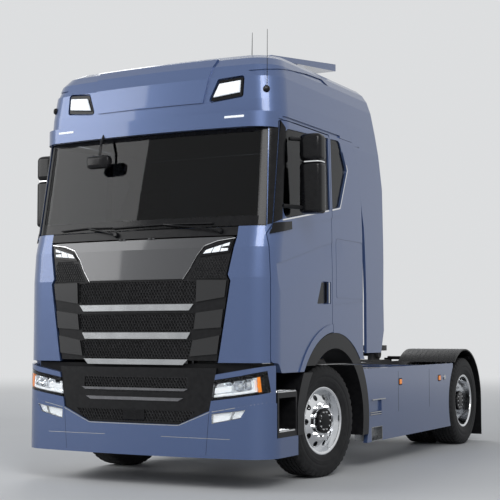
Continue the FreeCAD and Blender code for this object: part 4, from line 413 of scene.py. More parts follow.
# The fronts of chassis and cab are bowed panels with rounded corners. Thin parts on them are
# bands: a section carried across between a lower and an upper line, laid on the panel's face.
nose_y, half_width, bow, chassis_corner = -2.920, 1.250, 8.0, 0.255
cab_base, cab_tall, cab_nose_y, cab_lean, cab_corner = 0.900, 2.820, -2.905, 0.800, 0.250
level_up = (0.0, 0.300, 0.390, 0.450, 0.762, 0.840, 0.911, 0.950, 0.975, 0.992, 1.0)
level_back = np.array((0.0, 0.0, 0.025, 0.080, 0.262, 0.268, 0.300, 0.350, 0.430, 0.560, 0.760))
level_wide = np.array((1.0, 1.0, 1.0, 0.998, 0.980, 0.966, 0.948, 0.924, 0.890, 0.845, 0.780))


def bowed(x, front, wide, corner):
    """How far back a bowed front lies at x: an arc of radius bow, then a round corner at its end."""
    corner_x = wide - corner
    corner_y = front + bow - np.sqrt((bow - corner) ** 2 - corner_x ** 2)
    touch = corner_x * bow / (bow - corner)
    away = np.abs(x)
    arc = front + bow - np.sqrt(bow ** 2 - np.minimum(away, touch) ** 2)
    turn_in = np.clip(away - corner_x, 0.0, corner)
    return np.where(away <= touch, arc, corner_y - np.sqrt(corner ** 2 - turn_in ** 2))


def chassis_face(x, z, deep):
    """Points on the chassis front at (x, z), pushed in by deep."""
    x, z, deep = np.broadcast_arrays(x, z, deep)
    return np.stack([x, bowed(x, nose_y, half_width, chassis_corner) + deep, z], -1)


def cab_level(z):
    """Where the cab's front lies and how wide the cab is at height z: it leans back and narrows."""
    up = (z - cab_base) / cab_tall
    return (cab_nose_y + np.interp(up, level_up, level_back * cab_lean),
            np.interp(up, level_up, level_wide * half_width))


def cab_face(x, z, deep):
    """Points on the cab front at (x, z), pushed in by deep."""
    x, z, deep = np.broadcast_arrays(x, z, deep)
    return np.stack([x, bowed(x, *cab_level(z), cab_corner) + deep, z], -1)


def line(points, steps):
    """Even places along straight runs between two-figure points."""
    points = np.asarray(points, float)
    run = np.r_[0.0, np.cumsum(np.linalg.norm(np.diff(points, axis=0), axis=1))]
    at = np.linspace(0.0, run[-1], steps)
    return np.c_[np.interp(at, run, points[:, 0]), np.interp(at, run, points[:, 1])]


def band(low, high, face, front, back, edge=0.002, steps=24):
    """Rings of a flat section with small chamfers, carried between a lower and an upper line."""
    low, high = line(low, steps), line(high, steps)
    across = (high - low) / np.maximum(np.linalg.norm(high - low, axis=1), 1e-6)[:, None] * edge
    corners = [(low, back), (low, front + edge), (low + across, front), (high - across, front),
               (high, front + edge), (high, back)]
    return np.stack([face(spot[:, 0], spot[:, 1], deep) for spot, deep in corners], 1)


def mirrored(rings):
    """A piece's rings and their mirror image on the truck's other side."""
    rings = np.asarray(rings)
    return np.stack([rings, rings * (-1.0, 1.0, 1.0)])


def both(pieces):
    """Several pieces' rings, each with its mirror image, as one stack."""
    return np.concatenate([mirrored(rings) for rings in pieces])


# Honeycomb: black plastic cells, each a six-sided frame with a sloped wall, that fill the
# grille's slots. A cell is kept where its middle lies inside the slot's outline.
def inside(outline, spots):
    """Which spots lie inside an outline: the count of edges crossed to one side is odd."""
    a, b = np.asarray(outline, float), np.roll(np.asarray(outline, float), -1, axis=0)
    x, z = spots[:, 0, None], spots[:, 1, None]
    crossed = (a[:, 1] > z) != (b[:, 1] > z)
    rise = np.where(np.abs(b[:, 1] - a[:, 1]) < 1e-9, 1e-9, b[:, 1] - a[:, 1])
    return (crossed & (x < a[:, 0] + (z - a[:, 1]) * (b[:, 0] - a[:, 0]) / rise)).sum(1) % 2 == 1


def honeycomb(outline, face, front, back, pitch=0.034):
    """Rings of hexagon cells over an outline: outer front, inner front and inner back edge.

    Rows stand 3/4 of the pitch apart and columns cos 30 of it, odd rows moved by half a column.
    """
    outline = np.asarray(outline, float)
    low, high = outline.min(0), outline.max(0)
    rows = np.arange(low[1], high[1] + pitch, pitch * 0.75)
    columns = np.arange(low[0], high[0] + pitch, pitch * 0.866)
    row, column = np.meshgrid(np.arange(rows.size), np.arange(columns.size), indexing="ij")
    spots = np.stack([columns[column] + (row % 2) * pitch * 0.433, rows[row]], -1).reshape(-1, 2)
    spots = spots[inside(outline, spots)]
    angle = np.pi / 6 + np.arange(6) * np.pi / 3
    ring = np.c_[np.cos(angle), np.sin(angle)]
    stages = []
    for size, deep in ((0.50, front), (0.42, front - 0.003), (0.33, back)):
        corner = spots[:, None] + ring * pitch * size
        stages.append(face(corner[..., 0], corner[..., 1], deep))
    return np.stack(stages, 1)


def shares(points):
    """Front shares of half width and cab height, in metres."""
    points = np.asarray(points, float)
    return np.c_[points[:, 0] * half_width, cab_base + points[:, 1] * cab_tall]


def closed_over(points):
    """An outline of one half, closed over the middle with its mirror image."""
    return np.r_[points, (points * (-1.0, 1.0))[::-1]]


mesh_black = grained("mesh_black", (0.055, 0.055, 0.057), (0.085, 0.085, 0.088), 0.20, 0.4, 30.0,
                     300.0, 0.0001)
hatch_slots = [[(0.388, 0.2925), (0.476, 0.2900), (0.474, 0.2390), (0.448, 0.2275)],
               [(0.470, 0.1972), (0.460, 0.1531), (0.438, 0.1435)],
               [(0.448, 0.1161), (0.430, 0.0750), (0.412, 0.0612)]]
lower_slots = [[(0.4100, 0.915), (0.415, 0.835), (0.375, 0.805)], [(0.480, 0.642), (0.405, 0.550)]]
corner_patch = shares([(0.700, 0.3640), (0.695, 0.3020), (0.440, 0.3020), (0.500, 0.3560)])
hatch_cells = [honeycomb(closed_over(shares(slot)), cab_face, 0.0118, 0.0212) for slot in hatch_slots]
hood_cells = honeycomb(corner_patch, cab_face, 0.0070, 0.0115, 0.030)
lower_cells = [honeycomb(closed_over(np.array(slot) * (half_width, 1.0)), chassis_face, 0.0135, 0.0232)
               for slot in lower_slots]
for name, cells, body in (("hatch_honeycomb", hatch_cells, "hatch"),
                          ("hood_honeycomb", mirrored(hood_cells), "hatch"),
                          ("lower_honeycomb", lower_cells, "chassis")):
    shell(name, np.concatenate(list(cells)), mesh_black, body, ends=False,
          facing=(0, -1, 0), soft=0)

# Grille bars and trims: dark strips with slanted ends under the lower slots, a sensor cover, a
# bright line round the hood's lower edge, and a silver line along the top of the bumper's vee,
# which is a painted highlight of that edge's shine.
lower_bars = [((0.500, 0.806), (0.540, 0.829)), ((0.442, 0.722), (0.496, 0.751))]
rings = [band([(-low[0], low[1]), low], [(-high[0], high[1]), high], chassis_face, 0.002, 0.014)
         for low, high in lower_bars]
dark_trim = grained("dark_trim", (0.16, 0.16, 0.17), (0.22, 0.22, 0.23), 0.25, 0.8, 8.0)
shell("lower_grille_bars", rings, dark_trim, "chassis")
radar = band([(-0.100, 0.556), (0.122, 0.556)], [(-0.096, 0.648), (0.118, 0.648)], chassis_face,
             0.004, 0.030, 0.004)
black("radar_cover", radar, "chassis")
vee = np.array([(0.0, 0.530), (0.452, 0.530), (0.735, 0.645), (1.055, 0.703), (1.225, 0.733)])
vee = np.r_[(vee[1:] * (-1.0, 1.0))[::-1], vee]
# Painted highlight: the silver line stands for the shine along the top edge of the bumper's vee.
rings = band(vee - (0.0, 0.010), vee - (0.0, 0.002), chassis_face, 0.0, 0.004, 0.001, 96)
shell("bumper_edge_highlight", rings, silver_trim_and_highlights, "chassis")
hood_line = shares([(0.752, 0.4190), (0.627, 0.4117), (0.536, 0.398), (0.482, 0.3688), (0.434, 0.3306),
                    (0.384, 0.2984)])
rings = band(hood_line - (0.004, 0.009), hood_line - (0.002, 0.002), cab_face, -0.001, 0.006, 0.001, 48)
shell("hood_trim", mirrored(rings), chrome, "hatch")

# Bumper details: a silver line on each side of the middle panel, a painted highlight where a
# groove catches the light, and the panel's two seams.
# Black for seams and lamp frames, and also for the sheet that is painted shade in the gap below the
# hatch.
groove_black_and_gap_shade = grained("groove_black_and_gap_shade", (0.004, 0.004, 0.005), (0.008, 0.008, 0.009), 0.7)
# Painted highlight: a thin silver strip along each groove line, standing for the light it catches.
groove_highlight = band([(0.285, 0.426), (0.917, 0.421)], [(0.285, 0.432), (0.917, 0.427)], chassis_face,
              0.0, 0.003, 0.0008)
seam = band([(0.703, 0.290), (0.731, 0.640)], [(0.707, 0.290), (0.735, 0.640)], chassis_face,
            0.0, 0.003, 0.0006)
shell("bumper_groove_highlights", mirrored(groove_highlight), silver_trim_and_highlights, "chassis")
shell("bumper_seams", mirrored(seam), groove_black_and_gap_shade, "chassis")

# Headlamps: a fluted bright housing behind a clear cover, with three bowls, bright light guides,
# a black surround and an amber indicator at the outer end. Fog lamps sit in silver frames below.
lamp_steps = 60


def toned(name, colour, roughness, scale, low, high, metallic=0.0):
    """A smooth material whose colour drifts between low and high; returned with its shader."""
    material, shader, place = finish_nodes(name, colour, roughness, metallic)
    colour_by(shader, noise(place, scale), low, high)
    return material, shader


def glowing(name, colour, roughness, scale, low, high, glow, strength):
    """A toned material that shines faintly in the colour glow."""
    material, shader = toned(name, colour, roughness, scale, low, high)
    shader.inputs["Emission Color"].default_value = (*glow, 1.0)
    shader.inputs["Emission Strength"].default_value = strength
    return material


def clear(name, colour, scale, low, high, refraction):
    """A toned material that lets light through."""
    material, shader = toned(name, colour, 0.01, scale, low, high)
    shader.inputs["Transmission Weight"].default_value = 1.0
    shader.inputs["IOR"].default_value = refraction
    return material


def inward(low, high, share_low, share_high, start, end):
    """The part of a band's two lines between two shares across it and two shares along it."""
    low, high = line(low, lamp_steps), line(high, lamp_steps)
    keep = slice(int(start * (lamp_steps - 1)), int(end * (lamp_steps - 1)) + 1)
    return low[keep] + (high - low)[keep] * share_low, low[keep] + (high - low)[keep] * share_high


def lamp_part(outline, shares_kept, front, back, edge):
    """A band on the chassis front over the part of a lamp's outline that inward keeps."""
    return band(*inward(*outline, *shares_kept), chassis_face, front, back, edge)


headlamp = (np.array([(0.763, 0.742), (0.957, 0.764), (1.154, 0.793), (1.217, 0.809)]),
            np.array([(0.779, 0.901), (1.016, 0.937), (1.110, 0.957), (1.199, 0.976)]))
fog_lamp = (np.array([(0.757, 0.546), (0.885, 0.572), (1.004, 0.598)]),
            np.array([(0.757, 0.627), (0.966, 0.652), (1.053, 0.667)]))
clear_cover = clear("clear_cover", (0.97, 0.98, 0.98), 3.0, (0.94, 0.96, 0.97), (0.99, 0.99, 0.99),
                    1.12)
bright_guide = glowing("bright_guide", (0.86, 0.88, 0.90), 0.25, 90.0, (0.80, 0.83, 0.86),
                       (0.93, 0.94, 0.95), (0.85, 0.90, 0.95), 0.25)
amber = glowing("amber", (0.90, 0.22, 0.01), 0.15, 140.0, (0.80, 0.16, 0.005), (0.95, 0.30, 0.02),
                (1.0, 0.30, 0.02), 0.25)
fluted, shader, place = finish_nodes("fluted", (0.85, 0.86, 0.88), 0.08, 1.0)
flutes = added(shader, "TexVoronoi", Scale=38.0)
join(place, flutes.inputs["Vector"])
colour_by(shader, flutes.outputs["Distance"], (0.97, 0.98, 1.0), (0.75, 0.77, 0.80), 0.0, 0.6)
bump(shader, flutes.outputs["Distance"], 0.6, 0.004)

housing = shell("headlamp_housing", mirrored(band(*headlamp, chassis_face, 0.046, 0.066)), fluted,
                "chassis")
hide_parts("headlamps")
rims = [lamp_part(headlamp, kept, 0.003, 0.060, 0.002)
        for kept in ((0.0, 0.10, 0.0, 1.0), (0.80, 1.0, 0.0, 1.0), (0.10, 0.80, 0.915, 1.0))]
shell("headlamp_surround", both(rims), black_gloss, "chassis")
shell("headlamp_cover", mirrored(band(*headlamp, chassis_face, 0.0004, 0.0026, 0.0006)), clear_cover,
      "chassis")
guides = [lamp_part(headlamp, (0.12, 0.24, 0.02, 0.80), 0.008, 0.050, 0.004),
          lamp_part(headlamp, (0.24, 0.70, 0.75, 0.80), 0.008, 0.050, 0.003),
          lamp_part(headlamp, (0.30, 0.60, 0.02, 0.36), 0.014, 0.050, 0.004)]
shell("headlamp_guides", both(guides), bright_guide, "chassis")
strip = lamp_part(headlamp, (0.03, 0.92, 0.85, 0.905), 0.0035, 0.050, 0.003)
shell("headlamp_indicator", mirrored(strip), amber, "chassis")
bowl_profile = np.array([(-0.002, 0.050), (-0.003, 0.046), (0.006, 0.044), (0.020, 0.036),
                         (0.030, 0.024), (0.032, 0.020), (0.020, 0.019), (0.010, 0.014), (0.006, 0.001)])
bowl_deep, straight_x, most_lean = 0.014, 0.90, 0.8
middle = inward(*headlamp, 0.55, 0.55, 0.0, 1.0)[0]
bowls = []
for share, size in ((0.30, 0.92), (0.52, 1.0), (0.69, 1.0)):
    x, z = middle[int(share * (lamp_steps - 1))]
    lean = np.array((np.clip((x - straight_x) * 1.6, 0.0, most_lean), -1.0, 0.0))
    bowls.append(turned(bowl_profile * (1.0, size), chassis_face(x, z, bowl_deep), -lean, 40))
shell("headlamp_bowls", both(bowls), fluted, "chassis", ends=False, facing=(0, -1, 0))
shell("fog_lamp_back", mirrored(band(*fog_lamp, chassis_face, 0.020, 0.038)), bright_guide,
      "chassis")
rims = [lamp_part(fog_lamp, kept, 0.002, 0.030, 0.001)
        for kept in ((0.0, 0.08, 0.0, 1.0), (0.92, 1.0, 0.0, 1.0), (0.08, 0.92, 0.0, 0.03),
                     (0.08, 0.92, 0.64, 0.68))]
shell("fog_lamp_frame", both(rims), silver_trim_and_highlights, "chassis")
shell("fog_lamp_cover", mirrored(band(*fog_lamp, chassis_face, 0.0004, 0.0022, 0.0006)), clear_cover,
      "chassis")


# A black sheet behind the gap between hatch and lower grille, as painted shade in that gap, black
# covers on the A pillars and on the door's front frame, and the printed border of the windscreen.
# All are bent sheets on the cab.
def cab_plan(z):
    """The middle of the cab's left corner arc at height z, as its x and its y."""
    front, wide = cab_level(z)
    corner_x = wide - cab_corner
    return corner_x, front + bow - np.sqrt((bow - cab_corner) ** 2 - corner_x ** 2)


def pillar_face(turn, z, deep):
    """Points on the left corner arc, turn degrees round from straight ahead, pushed in by deep."""
    turn, z, deep = np.broadcast_arrays(np.radians(turn), z, deep)
    corner_x, corner_y = cab_plan(z)
    radius = cab_corner - deep
    return np.stack([corner_x + radius * np.sin(turn), corner_y - radius * np.cos(turn), z], -1)


def door_face(y, z, deep):
    """Points on the left side and its corner arc at (y, z), pushed in by deep."""
    y, z, deep = np.broadcast_arrays(y, z, deep)
    corner_x, corner_y = cab_plan(z)
    ahead = np.clip(corner_y - y, 0.0, cab_corner - 0.001 - deep)
    return np.stack([corner_x + np.sqrt((cab_corner - deep) ** 2 - ahead ** 2), y, z], -1)


def sheet(low, high, face, front, back, steps=24, across=6):
    """Rings of a bent sheet between two lines: points over its front, then back along its rear."""
    low, high = line(low, steps), line(high, steps)
    share = np.linspace(0.0, 1.0, across + 1)[None, :, None]
    spots = low[:, None] + (high - low)[:, None] * share
    outer = face(spots[..., 0], spots[..., 1], front)
    inner = face(spots[..., 0], spots[..., 1], back)
    return np.concatenate([outer, inner[:, ::-1]], 1)


def level_sheet(half, low, high, face, front, back):
    """A bent sheet across a front, from -half to half between two heights."""
    return sheet([(-half, low), (half, low)], [(-half, high), (half, high)], face, front, back, 48, 2)


def door_pair(name, rings, material, stands_for=None):
    """A left door's piece and its mirror image on the right door."""
    for sign, side in both_sides:
        piece = shell(f"{name}_{side}", np.asarray(rings) * (sign, 1.0, 1.0), material,
                      f"door_{side}")
        if stands_for:
            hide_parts(f"{stands_for}_{side}")


# Painted shade: a black sheet set back in the gap below the hatch, so that the gap reads dark.
filler = level_sheet(1.080, 0.900, 1.034, chassis_face, 0.058, 0.066)
shell("gap_shade_sheet", filler, groove_black_and_gap_shade, "chassis")
pillar = sheet([(45.8, 2.185), (39.6, 3.080)], [(55.4, 2.195), (59.6, 3.080)], pillar_face,
               -0.0035, 0.003)
black("pillar_covers", mirrored(pillar))
door_frame = sheet([(-2.655, 2.205), (-2.500, 3.080)], [(-2.566, 2.240), (-2.452, 3.022)], door_face,
                   -0.0105, -0.001)
door_pair("door_front_cover", door_frame, black_gloss)
foot = sheet([(-2.700, 2.110), (-2.400, 2.165)], [(-2.655, 2.203), (-2.400, 2.232)], door_face,
             -0.0125, -0.004)
door_pair("mirror_foot", foot, black_gloss)
border_front, border_back = 0.0080, 0.0112
side_edge = sheet([(26.0, 2.182), (24.0, 3.085)], [(43.8, 2.182), (37.6, 3.085)], pillar_face,
                  border_front, border_back)
black("screen_border_sides", mirrored(side_edge))
low_edge = level_sheet(1.110, 2.180, 2.262, cab_face, border_front, border_back)
top_edge = level_sheet(1.080, 2.985, 3.090, cab_face, border_front, border_back)
black("screen_border_edges", [low_edge, top_edge])


# Wipers: two round arms on pivots in the cowl, each with a long rubber blade on the glass.
def swept(path, radius, steps=12):
    """Rings of a round bar along a path; radius is one value or one for each point."""
    path = np.asarray(path, float)
    along = np.gradient(path, axis=0)
    along /= np.linalg.norm(along, axis=1)[:, None]
    guide = (0.0, 0.0, 1.0) if np.abs(along[:, 2]).max() < 0.9 else (0.35, 0.93, 0.1)
    side = np.cross(along, guide)
    side /= np.linalg.norm(side, axis=1)[:, None]
    up = np.cross(side, along)
    angle = np.linspace(0.0, 2 * np.pi, steps + 1)[:-1]
    radius = np.broadcast_to(radius, (len(path),))[:, None, None]
    return path[:, None] + radius * (np.cos(angle)[None, :, None] * side[:, None]
                                     + np.sin(angle)[None, :, None] * up[:, None])


arm_steps, blade_steps = 14, 30
pivot_profile = [(-0.012, 0.001), (-0.012, 0.024), (0.020, 0.024), (0.032, 0.016), (0.032, 0.001)]
wiper_rods, blades, pivots = [], [], []
for pivot, hold_x, tips in (((0.800, 2.135), 0.260, (-0.270, 0.720)),
                            ((-0.220, 2.135), -0.545, (-0.850, -0.280))):
    bend = (pivot[0] * 0.72 + hold_x * 0.28, 2.165)
    spots = line([pivot, bend, (hold_x, 2.212)], arm_steps)
    lift = np.interp(np.arange(arm_steps), (0, 2, 11, 13), (-0.022, -0.030, -0.030, -0.016))
    wiper_rods.append(swept(cab_face(spots[:, 0], spots[:, 1], lift), 0.0075, 10))
    blade = line([(tips[0], 2.200), (hold_x, 2.214), (tips[1], 2.206)], blade_steps)
    blades.append(band(blade - (0, 0.005), blade + (0, 0.005), cab_face, -0.0165, 0.0075, 0.003,
                       blade_steps))
    pivots.append(turned(pivot_profile, cab_face(*pivot, 0.0), (0, -1, 0.25), 24))
black("wiper_arms", wiper_rods)
shell("wiper_blades", blades, rubber, "cab")
black("wiper_pivots", pivots)


# Visor, roof and hatch lamps: rows of bright cells, which stand just proud of the lenses of
# roof and hatch. Those lenses are dressed black, so that they show as the cells' surround.
def lamp_cells(low_line, high_line, front):
    """Three cells side by side between two lines, on both sides of the cab."""
    cells = [inward(low_line, high_line, 0.08, 0.92, part / 3 + 0.015, (part + 1) / 3 - 0.02)
             for part in range(3)]
    return both([band(*cell, cab_face, front, 0.004, 0.003, 12) for cell in cells])


roof_cells = lamp_cells([(0.640, 3.292), (0.890, 3.322)], [(0.700, 3.428), (0.890, 3.445)], -0.0145)
eye_cells = lamp_cells([(0.655, 1.945), (0.885, 1.962)], [(0.690, 1.985), (0.905, 2.050)], -0.0016)
visor_lamp = band([(0.786, 3.098), (0.962, 3.100)], [(0.786, 3.117), (0.962, 3.119)], cab_face,
                  -0.0760, -0.066, 0.003, 14)
lamp_white = glowing("lamp_white", (0.88, 0.90, 0.92), 0.12, 70.0, (0.62, 0.66, 0.70),
                     (0.95, 0.96, 0.97), (0.85, 0.92, 1.0), 0.35)
shell("roof_lamp_cells", roof_cells, lamp_white, "cab")
shell("hatch_lamp_cells", eye_cells, lamp_white, "hatch")
shell("visor_lamps", mirrored(visor_lamp), lamp_white, "cab")
dress(black_gloss, "roof_lamps", "hatch_lamps")


# Bright trim below the side glass, the door handle's black liner and a silver strip on it that
# is a painted highlight of the handle's shine, a knob on each of the roof's front corners, a rod on
# the left one and a second rod on the roof.
def along_path(points, count):
    """Points along a path, each of its runs given an equal share of the count."""
    points = np.asarray(points, float)
    last = len(points) - 1
    at = np.linspace(0, last, count)
    return np.stack([np.interp(at, range(last + 1), points[:, axis]) for axis in range(3)], 1)


trim_front, trim_back = -0.0105, -0.004
belt = np.array([(-2.561, 2.2395), (-1.630, 2.4002)])
rings = band(belt - (0.0, 0.016), belt - (0.0, 0.003), door_face, trim_front, trim_back, 0.002, 40)
door_pair("belt_trim", rings, chrome)
belt = np.array([(-1.555, 2.4130), (-1.379, 2.4454), (-1.192, 2.8091), (-1.212, 2.860)])
rings = band(belt + [(0, -0.016), (0.006, -0.015), (0.015, 0.0), (0.015, 0.0)],
             belt + [(0, -0.003), (0.001, -0.003), (0.003, 0.0), (0.003, 0.0)], door_face,
             trim_front, trim_back, 0.002, 48)
shell("quarter_trim", mirrored(rings), chrome, "cab")
liner = sheet([(-1.878, 1.548), (-1.602, 1.558)], [(-1.782, 1.740), (-1.602, 1.742)], door_face,
              0.0235, 0.0256, 16, 2)
door_pair("handle_liner", liner, black_gloss)
# Painted highlight: a silver strip down the black handle, standing for its shine.
grip_highlight = band([(-1.6435, 1.560), (-1.6435, 1.742)], [(-1.6190, 1.560), (-1.6190, 1.742)], door_face,
            -0.0030, 0.0005, 0.001, 6)
door_pair("handle_highlight_strip", grip_highlight, silver_trim_and_highlights)
knob_profile = [(-0.006, 0.001), (-0.006, 0.030), (0.010, 0.030), (0.022, 0.020), (0.026, 0.001)]
base, out = pillar_face(38.0, 3.350, -0.001), np.array((0.616, -0.788, 0.0))
black("antenna_bases", mirrored(turned(knob_profile, base, out, 28)))
rod_base, rod_tip = 0.0045, 0.0020
rod = along_path([base + out * 0.014, base + out * 0.030 + (0, 0, 0.02),
                  base + out * 0.034 + (0, 0, 0.10), base + out * 0.020 + (0, 0.010, 0.510)], 20)
roof_rod = along_path([(0.790, -2.245, 3.640), (0.790, -2.235, 3.945)], 12)
for name, path in (("antenna_left", rod), ("antenna_roof", roof_rod)):
    black(name, swept(path, np.linspace(rod_base, rod_tip, len(path)), 8))

# Steps: silver treads with a row of teeth along each bar, in the two openings below each door.
tooth_places, tooth_high, bar_deep = 69, 0.012, 0.004
along = np.linspace(-2.645, -2.305, tooth_places)
teeth = np.where(np.arange(tooth_places) % 4 < 2, tooth_high, 0.0)
bars = [np.stack([np.stack([np.full(tooth_places, x + out_x), along, top + rise], 1)
                  for out_x, rise in ((-0.006, -bar_deep + 0 * teeth), (0.006, -bar_deep + 0 * teeth),
                                      (0.0045, teeth), (-0.0045, teeth))], 1)
        for top in (0.476, 0.801) for x in np.arange(1.035, 1.245, 0.034)]
shell("step_treads", both(bars), polished_alloy, "chassis", soft=0)


# Side skirts: amber marker lamps in black frames, panel seams, a round filler cap, a trim line
# and the folding step's bright treads.
def skirt_side(y, z, deep):
    """Points on the flat left side of the skirts."""
    y, z, deep = np.broadcast_arrays(y, z, deep)
    return np.stack([half_width - deep, y, z], -1)


def plate(y_low, y_high, z_low, z_high, front, back, edge, steps=6):
    """Rings of a flat plate on the skirt between two places along it and two heights."""
    return band([(y_low, z_low), (y_high, z_low)], [(y_low, z_high), (y_high, z_high)], skirt_side,
                front, back, edge, steps)


marker_y = (0.117, 1.311)
markers = [plate(y - 0.030, y + 0.030, 0.772, 0.822, -0.008, 0.004, 0.005) for y in marker_y]
shell("marker_lamps", both(markers), amber, "chassis")
frames = [plate(y - 0.040, y + 0.040, 0.762, 0.832, -0.0025, 0.003, 0.002) for y in marker_y]
seams = [band([(y, 0.500), (y, 0.905)], [(y + 0.006, 0.500), (y + 0.006, 0.905)], skirt_side,
              -0.0004, 0.003, 0.0004, 6) for y in (0.057, 0.980)]
shell("skirt_seams", both(frames + seams), groove_black_and_gap_shade, "chassis")
cap = turned([(-0.002, 0.030), (0.006, 0.030), (0.009, 0.026), (0.009, 0.001)],
             (half_width, 1.480, 0.800), (1, 0, 0), 32)
shell("filler_caps", mirrored(cap), silver_trim_and_highlights, "chassis")
trim_line = plate(-0.640, -0.300, 0.640, 0.652, -0.006, 0.002, 0.002, 8)
treads = [plate(-0.690, -0.410, z, z + 0.010, -0.004, 0.004, 0.002, 8) for z in (0.500, 0.520)]
shell("skirt_trims", both([trim_line] + treads), silver_trim_and_highlights, "chassis")


# Mirrors: rounded housings in place of the CAD boxes, drawn as stacked soft rectangles whose
# size eases off at top and bottom, with arms, a chrome strip and real mirror glass behind.
def soft_box(centre, half, low, high, edge, power=4.0, levels=9, steps=44):
    """Rings of a rounded box: |x/a|^p + |y/b|^p = 1 at each height, shrinking over its two ends."""
    turn = np.linspace(0.0, np.pi / 2, levels)
    z = np.r_[low + edge * (1 - np.cos(turn)), high - edge * (1 - np.cos(turn[::-1]))]
    inset = np.r_[edge * (1 - np.sin(turn)), edge * (1 - np.sin(turn[::-1]))]
    angle = np.linspace(0.0, 2 * np.pi, steps + 1)[:-1]
    c, s = np.cos(angle), np.sin(angle)
    grow = (np.abs(c) ** power + np.abs(s) ** power) ** (-1 / power)
    x = centre[0] + (half[0] - inset)[:, None] * c * grow
    y = centre[1] + (half[1] - inset)[:, None] * s * grow
    return np.stack([x, y, np.broadcast_to(z[:, None], x.shape)], -1)


mirror_glass, _ = toned("mirror_glass", (0.85, 0.87, 0.88), 0.02, 2.0, (0.80, 0.82, 0.83),
                        (0.88, 0.90, 0.91), 1.0)
mirror_x, house_y, pane_y = 1.3975, -2.285, -2.2068
houses = [soft_box((mirror_x, house_y), (0.1015, 0.0785), 2.301, 2.734, 0.030),
          soft_box((mirror_x, house_y), (0.1015, 0.0785), 2.744, 2.984, 0.045)]
arms = [swept(along_path(run, 14), 0.0175, 20) for run in (
    [(1.2445, -2.545, 2.350), (1.290, -2.440, 2.350), (1.352, -2.290, 2.350)],
    [(1.2450, -2.425, 2.935), (1.290, -2.370, 2.935), (1.350, -2.290, 2.935)])]
joint = soft_box((mirror_x, house_y), (0.0980, 0.0750), 2.7335, 2.7445, 0.001)
panes = [soft_box((mirror_x, pane_y), (0.080, 0.0014), 2.335, 2.705, 0.0012, 30.0),
         soft_box((mirror_x, pane_y), (0.078, 0.0014), 2.790, 2.945, 0.0012, 30.0)]
door_pair("mirror_housing", houses, black_gloss, "mirror")
door_pair("mirror_arms", arms, black_moulding)
door_pair("mirror_strip", joint, chrome)
door_pair("mirror_panes", panes, mirror_glass)
eye = soft_box((-0.420, -2.840), (0.120, 0.045), 2.735, 2.850, 0.035)
eye_arm = along_path([(-0.420, -2.830, 2.845), (-0.430, -2.800, 2.960), (-0.440, -2.740, 3.050)], 12)
black("kerb_mirror_arm", swept(eye_arm, 0.012, 16))
black("kerb_mirror_head", eye)

# Cabin: seat cushions, seat backs, head rests and a bunk mattress. Each is a crowned rounded box,
# blown up a little as cloth. The seats stand on plain pedestals.
def taken(piece):
    """A new mesh of a piece with its modifiers applied."""
    return bpy.data.meshes.new_from_object(piece.evaluated_get(bpy.context.evaluated_depsgraph_get()))


def spots_of(mesh):
    """A mesh's points as rows."""
    spots = np.empty(len(mesh.vertices) * 3)
    mesh.vertices.foreach_get("co", spots)
    return spots.reshape(-1, 3)


def blown(name, rings, material, voxel, cap):
    """A padded piece: rings remeshed, swollen by a short cloth run and its travel capped."""
    piece = shell(name, rings, material, "cab")
    bpy.context.view_layer.objects.active = piece
    remesh = piece.modifiers.new("remesh", "REMESH")
    remesh.mode, remesh.voxel_size = "VOXEL", voxel
    baked = taken(piece)
    piece.modifiers.clear()
    piece.data = baked
    if not baked.materials:
        baked.materials.append(material)
    start = spots_of(baked)
    cloth = piece.modifiers.new("cloth", "CLOTH")
    cloth.settings.use_pressure = True
    cloth.settings.uniform_pressure_force = 4.0
    cloth.settings.effector_weights.gravity = 0.0
    cloth.settings.quality = 4
    cloth.collision_settings.use_collision = False
    for step in range(1, 21):
        bpy.context.scene.frame_set(step)
    travel = spots_of(taken(piece)) - start
    bpy.context.scene.frame_set(1)
    piece.modifiers.clear()
    travel *= np.minimum(1.0, cap / np.maximum(np.linalg.norm(travel, axis=1), 1e-9))[:, None]
    baked.vertices.foreach_set("co", (start + travel).ravel())
    baked.update()
    baked.shade_smooth()
    return piece


seat_fabric = grained("seat_fabric", (0.030, 0.030, 0.034), (0.060, 0.060, 0.066), 0.9, 0.0, 60.0,
                      1400.0, 0.0006)
cabin_black = grained("cabin_black", (0.015, 0.015, 0.017), (0.030, 0.030, 0.032), 0.6, 0.0, 12.0,
                      700.0, 0.0004)
cabin_trim = grained("cabin_trim", (0.035, 0.035, 0.038), (0.055, 0.055, 0.058), 0.6, 0.0, 12.0,
                     700.0, 0.0004)
dress(cabin_trim, "dashboard", "steering_wheel")
seat_x = 0.620
for sign, side in both_sides:
    for name, y, half, low, high, edge, voxel, cap in (
            ("seat_cushion_", -1.765, (0.235, 0.215), 1.815, 1.915, 0.035, 0.008, 0.018),
            ("seat_back_", -1.555, (0.225, 0.050), 1.955, 2.520, 0.040, 0.008, 0.014),
            ("head_rest_", -1.555, (0.130, 0.042), 2.545, 2.695, 0.035, 0.007, 0.012)):
        blown(name + side, soft_box((sign * seat_x, y), half, low, high, edge), seat_fabric, voxel, cap)
pedestal = soft_box((seat_x, -1.740), (0.180, 0.180), 1.431, 1.800, 0.010)
pedestals = shell("seat_pedestals", mirrored(pedestal), cabin_black, "cab")
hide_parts("seats")
mattress = blown("bunk_mattress", soft_box((0.0, -1.170), (0.970, 0.265), 1.790, 1.885, 0.040, 8.0),
                 seat_fabric, 0.014, 0.014)
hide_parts("bunk")


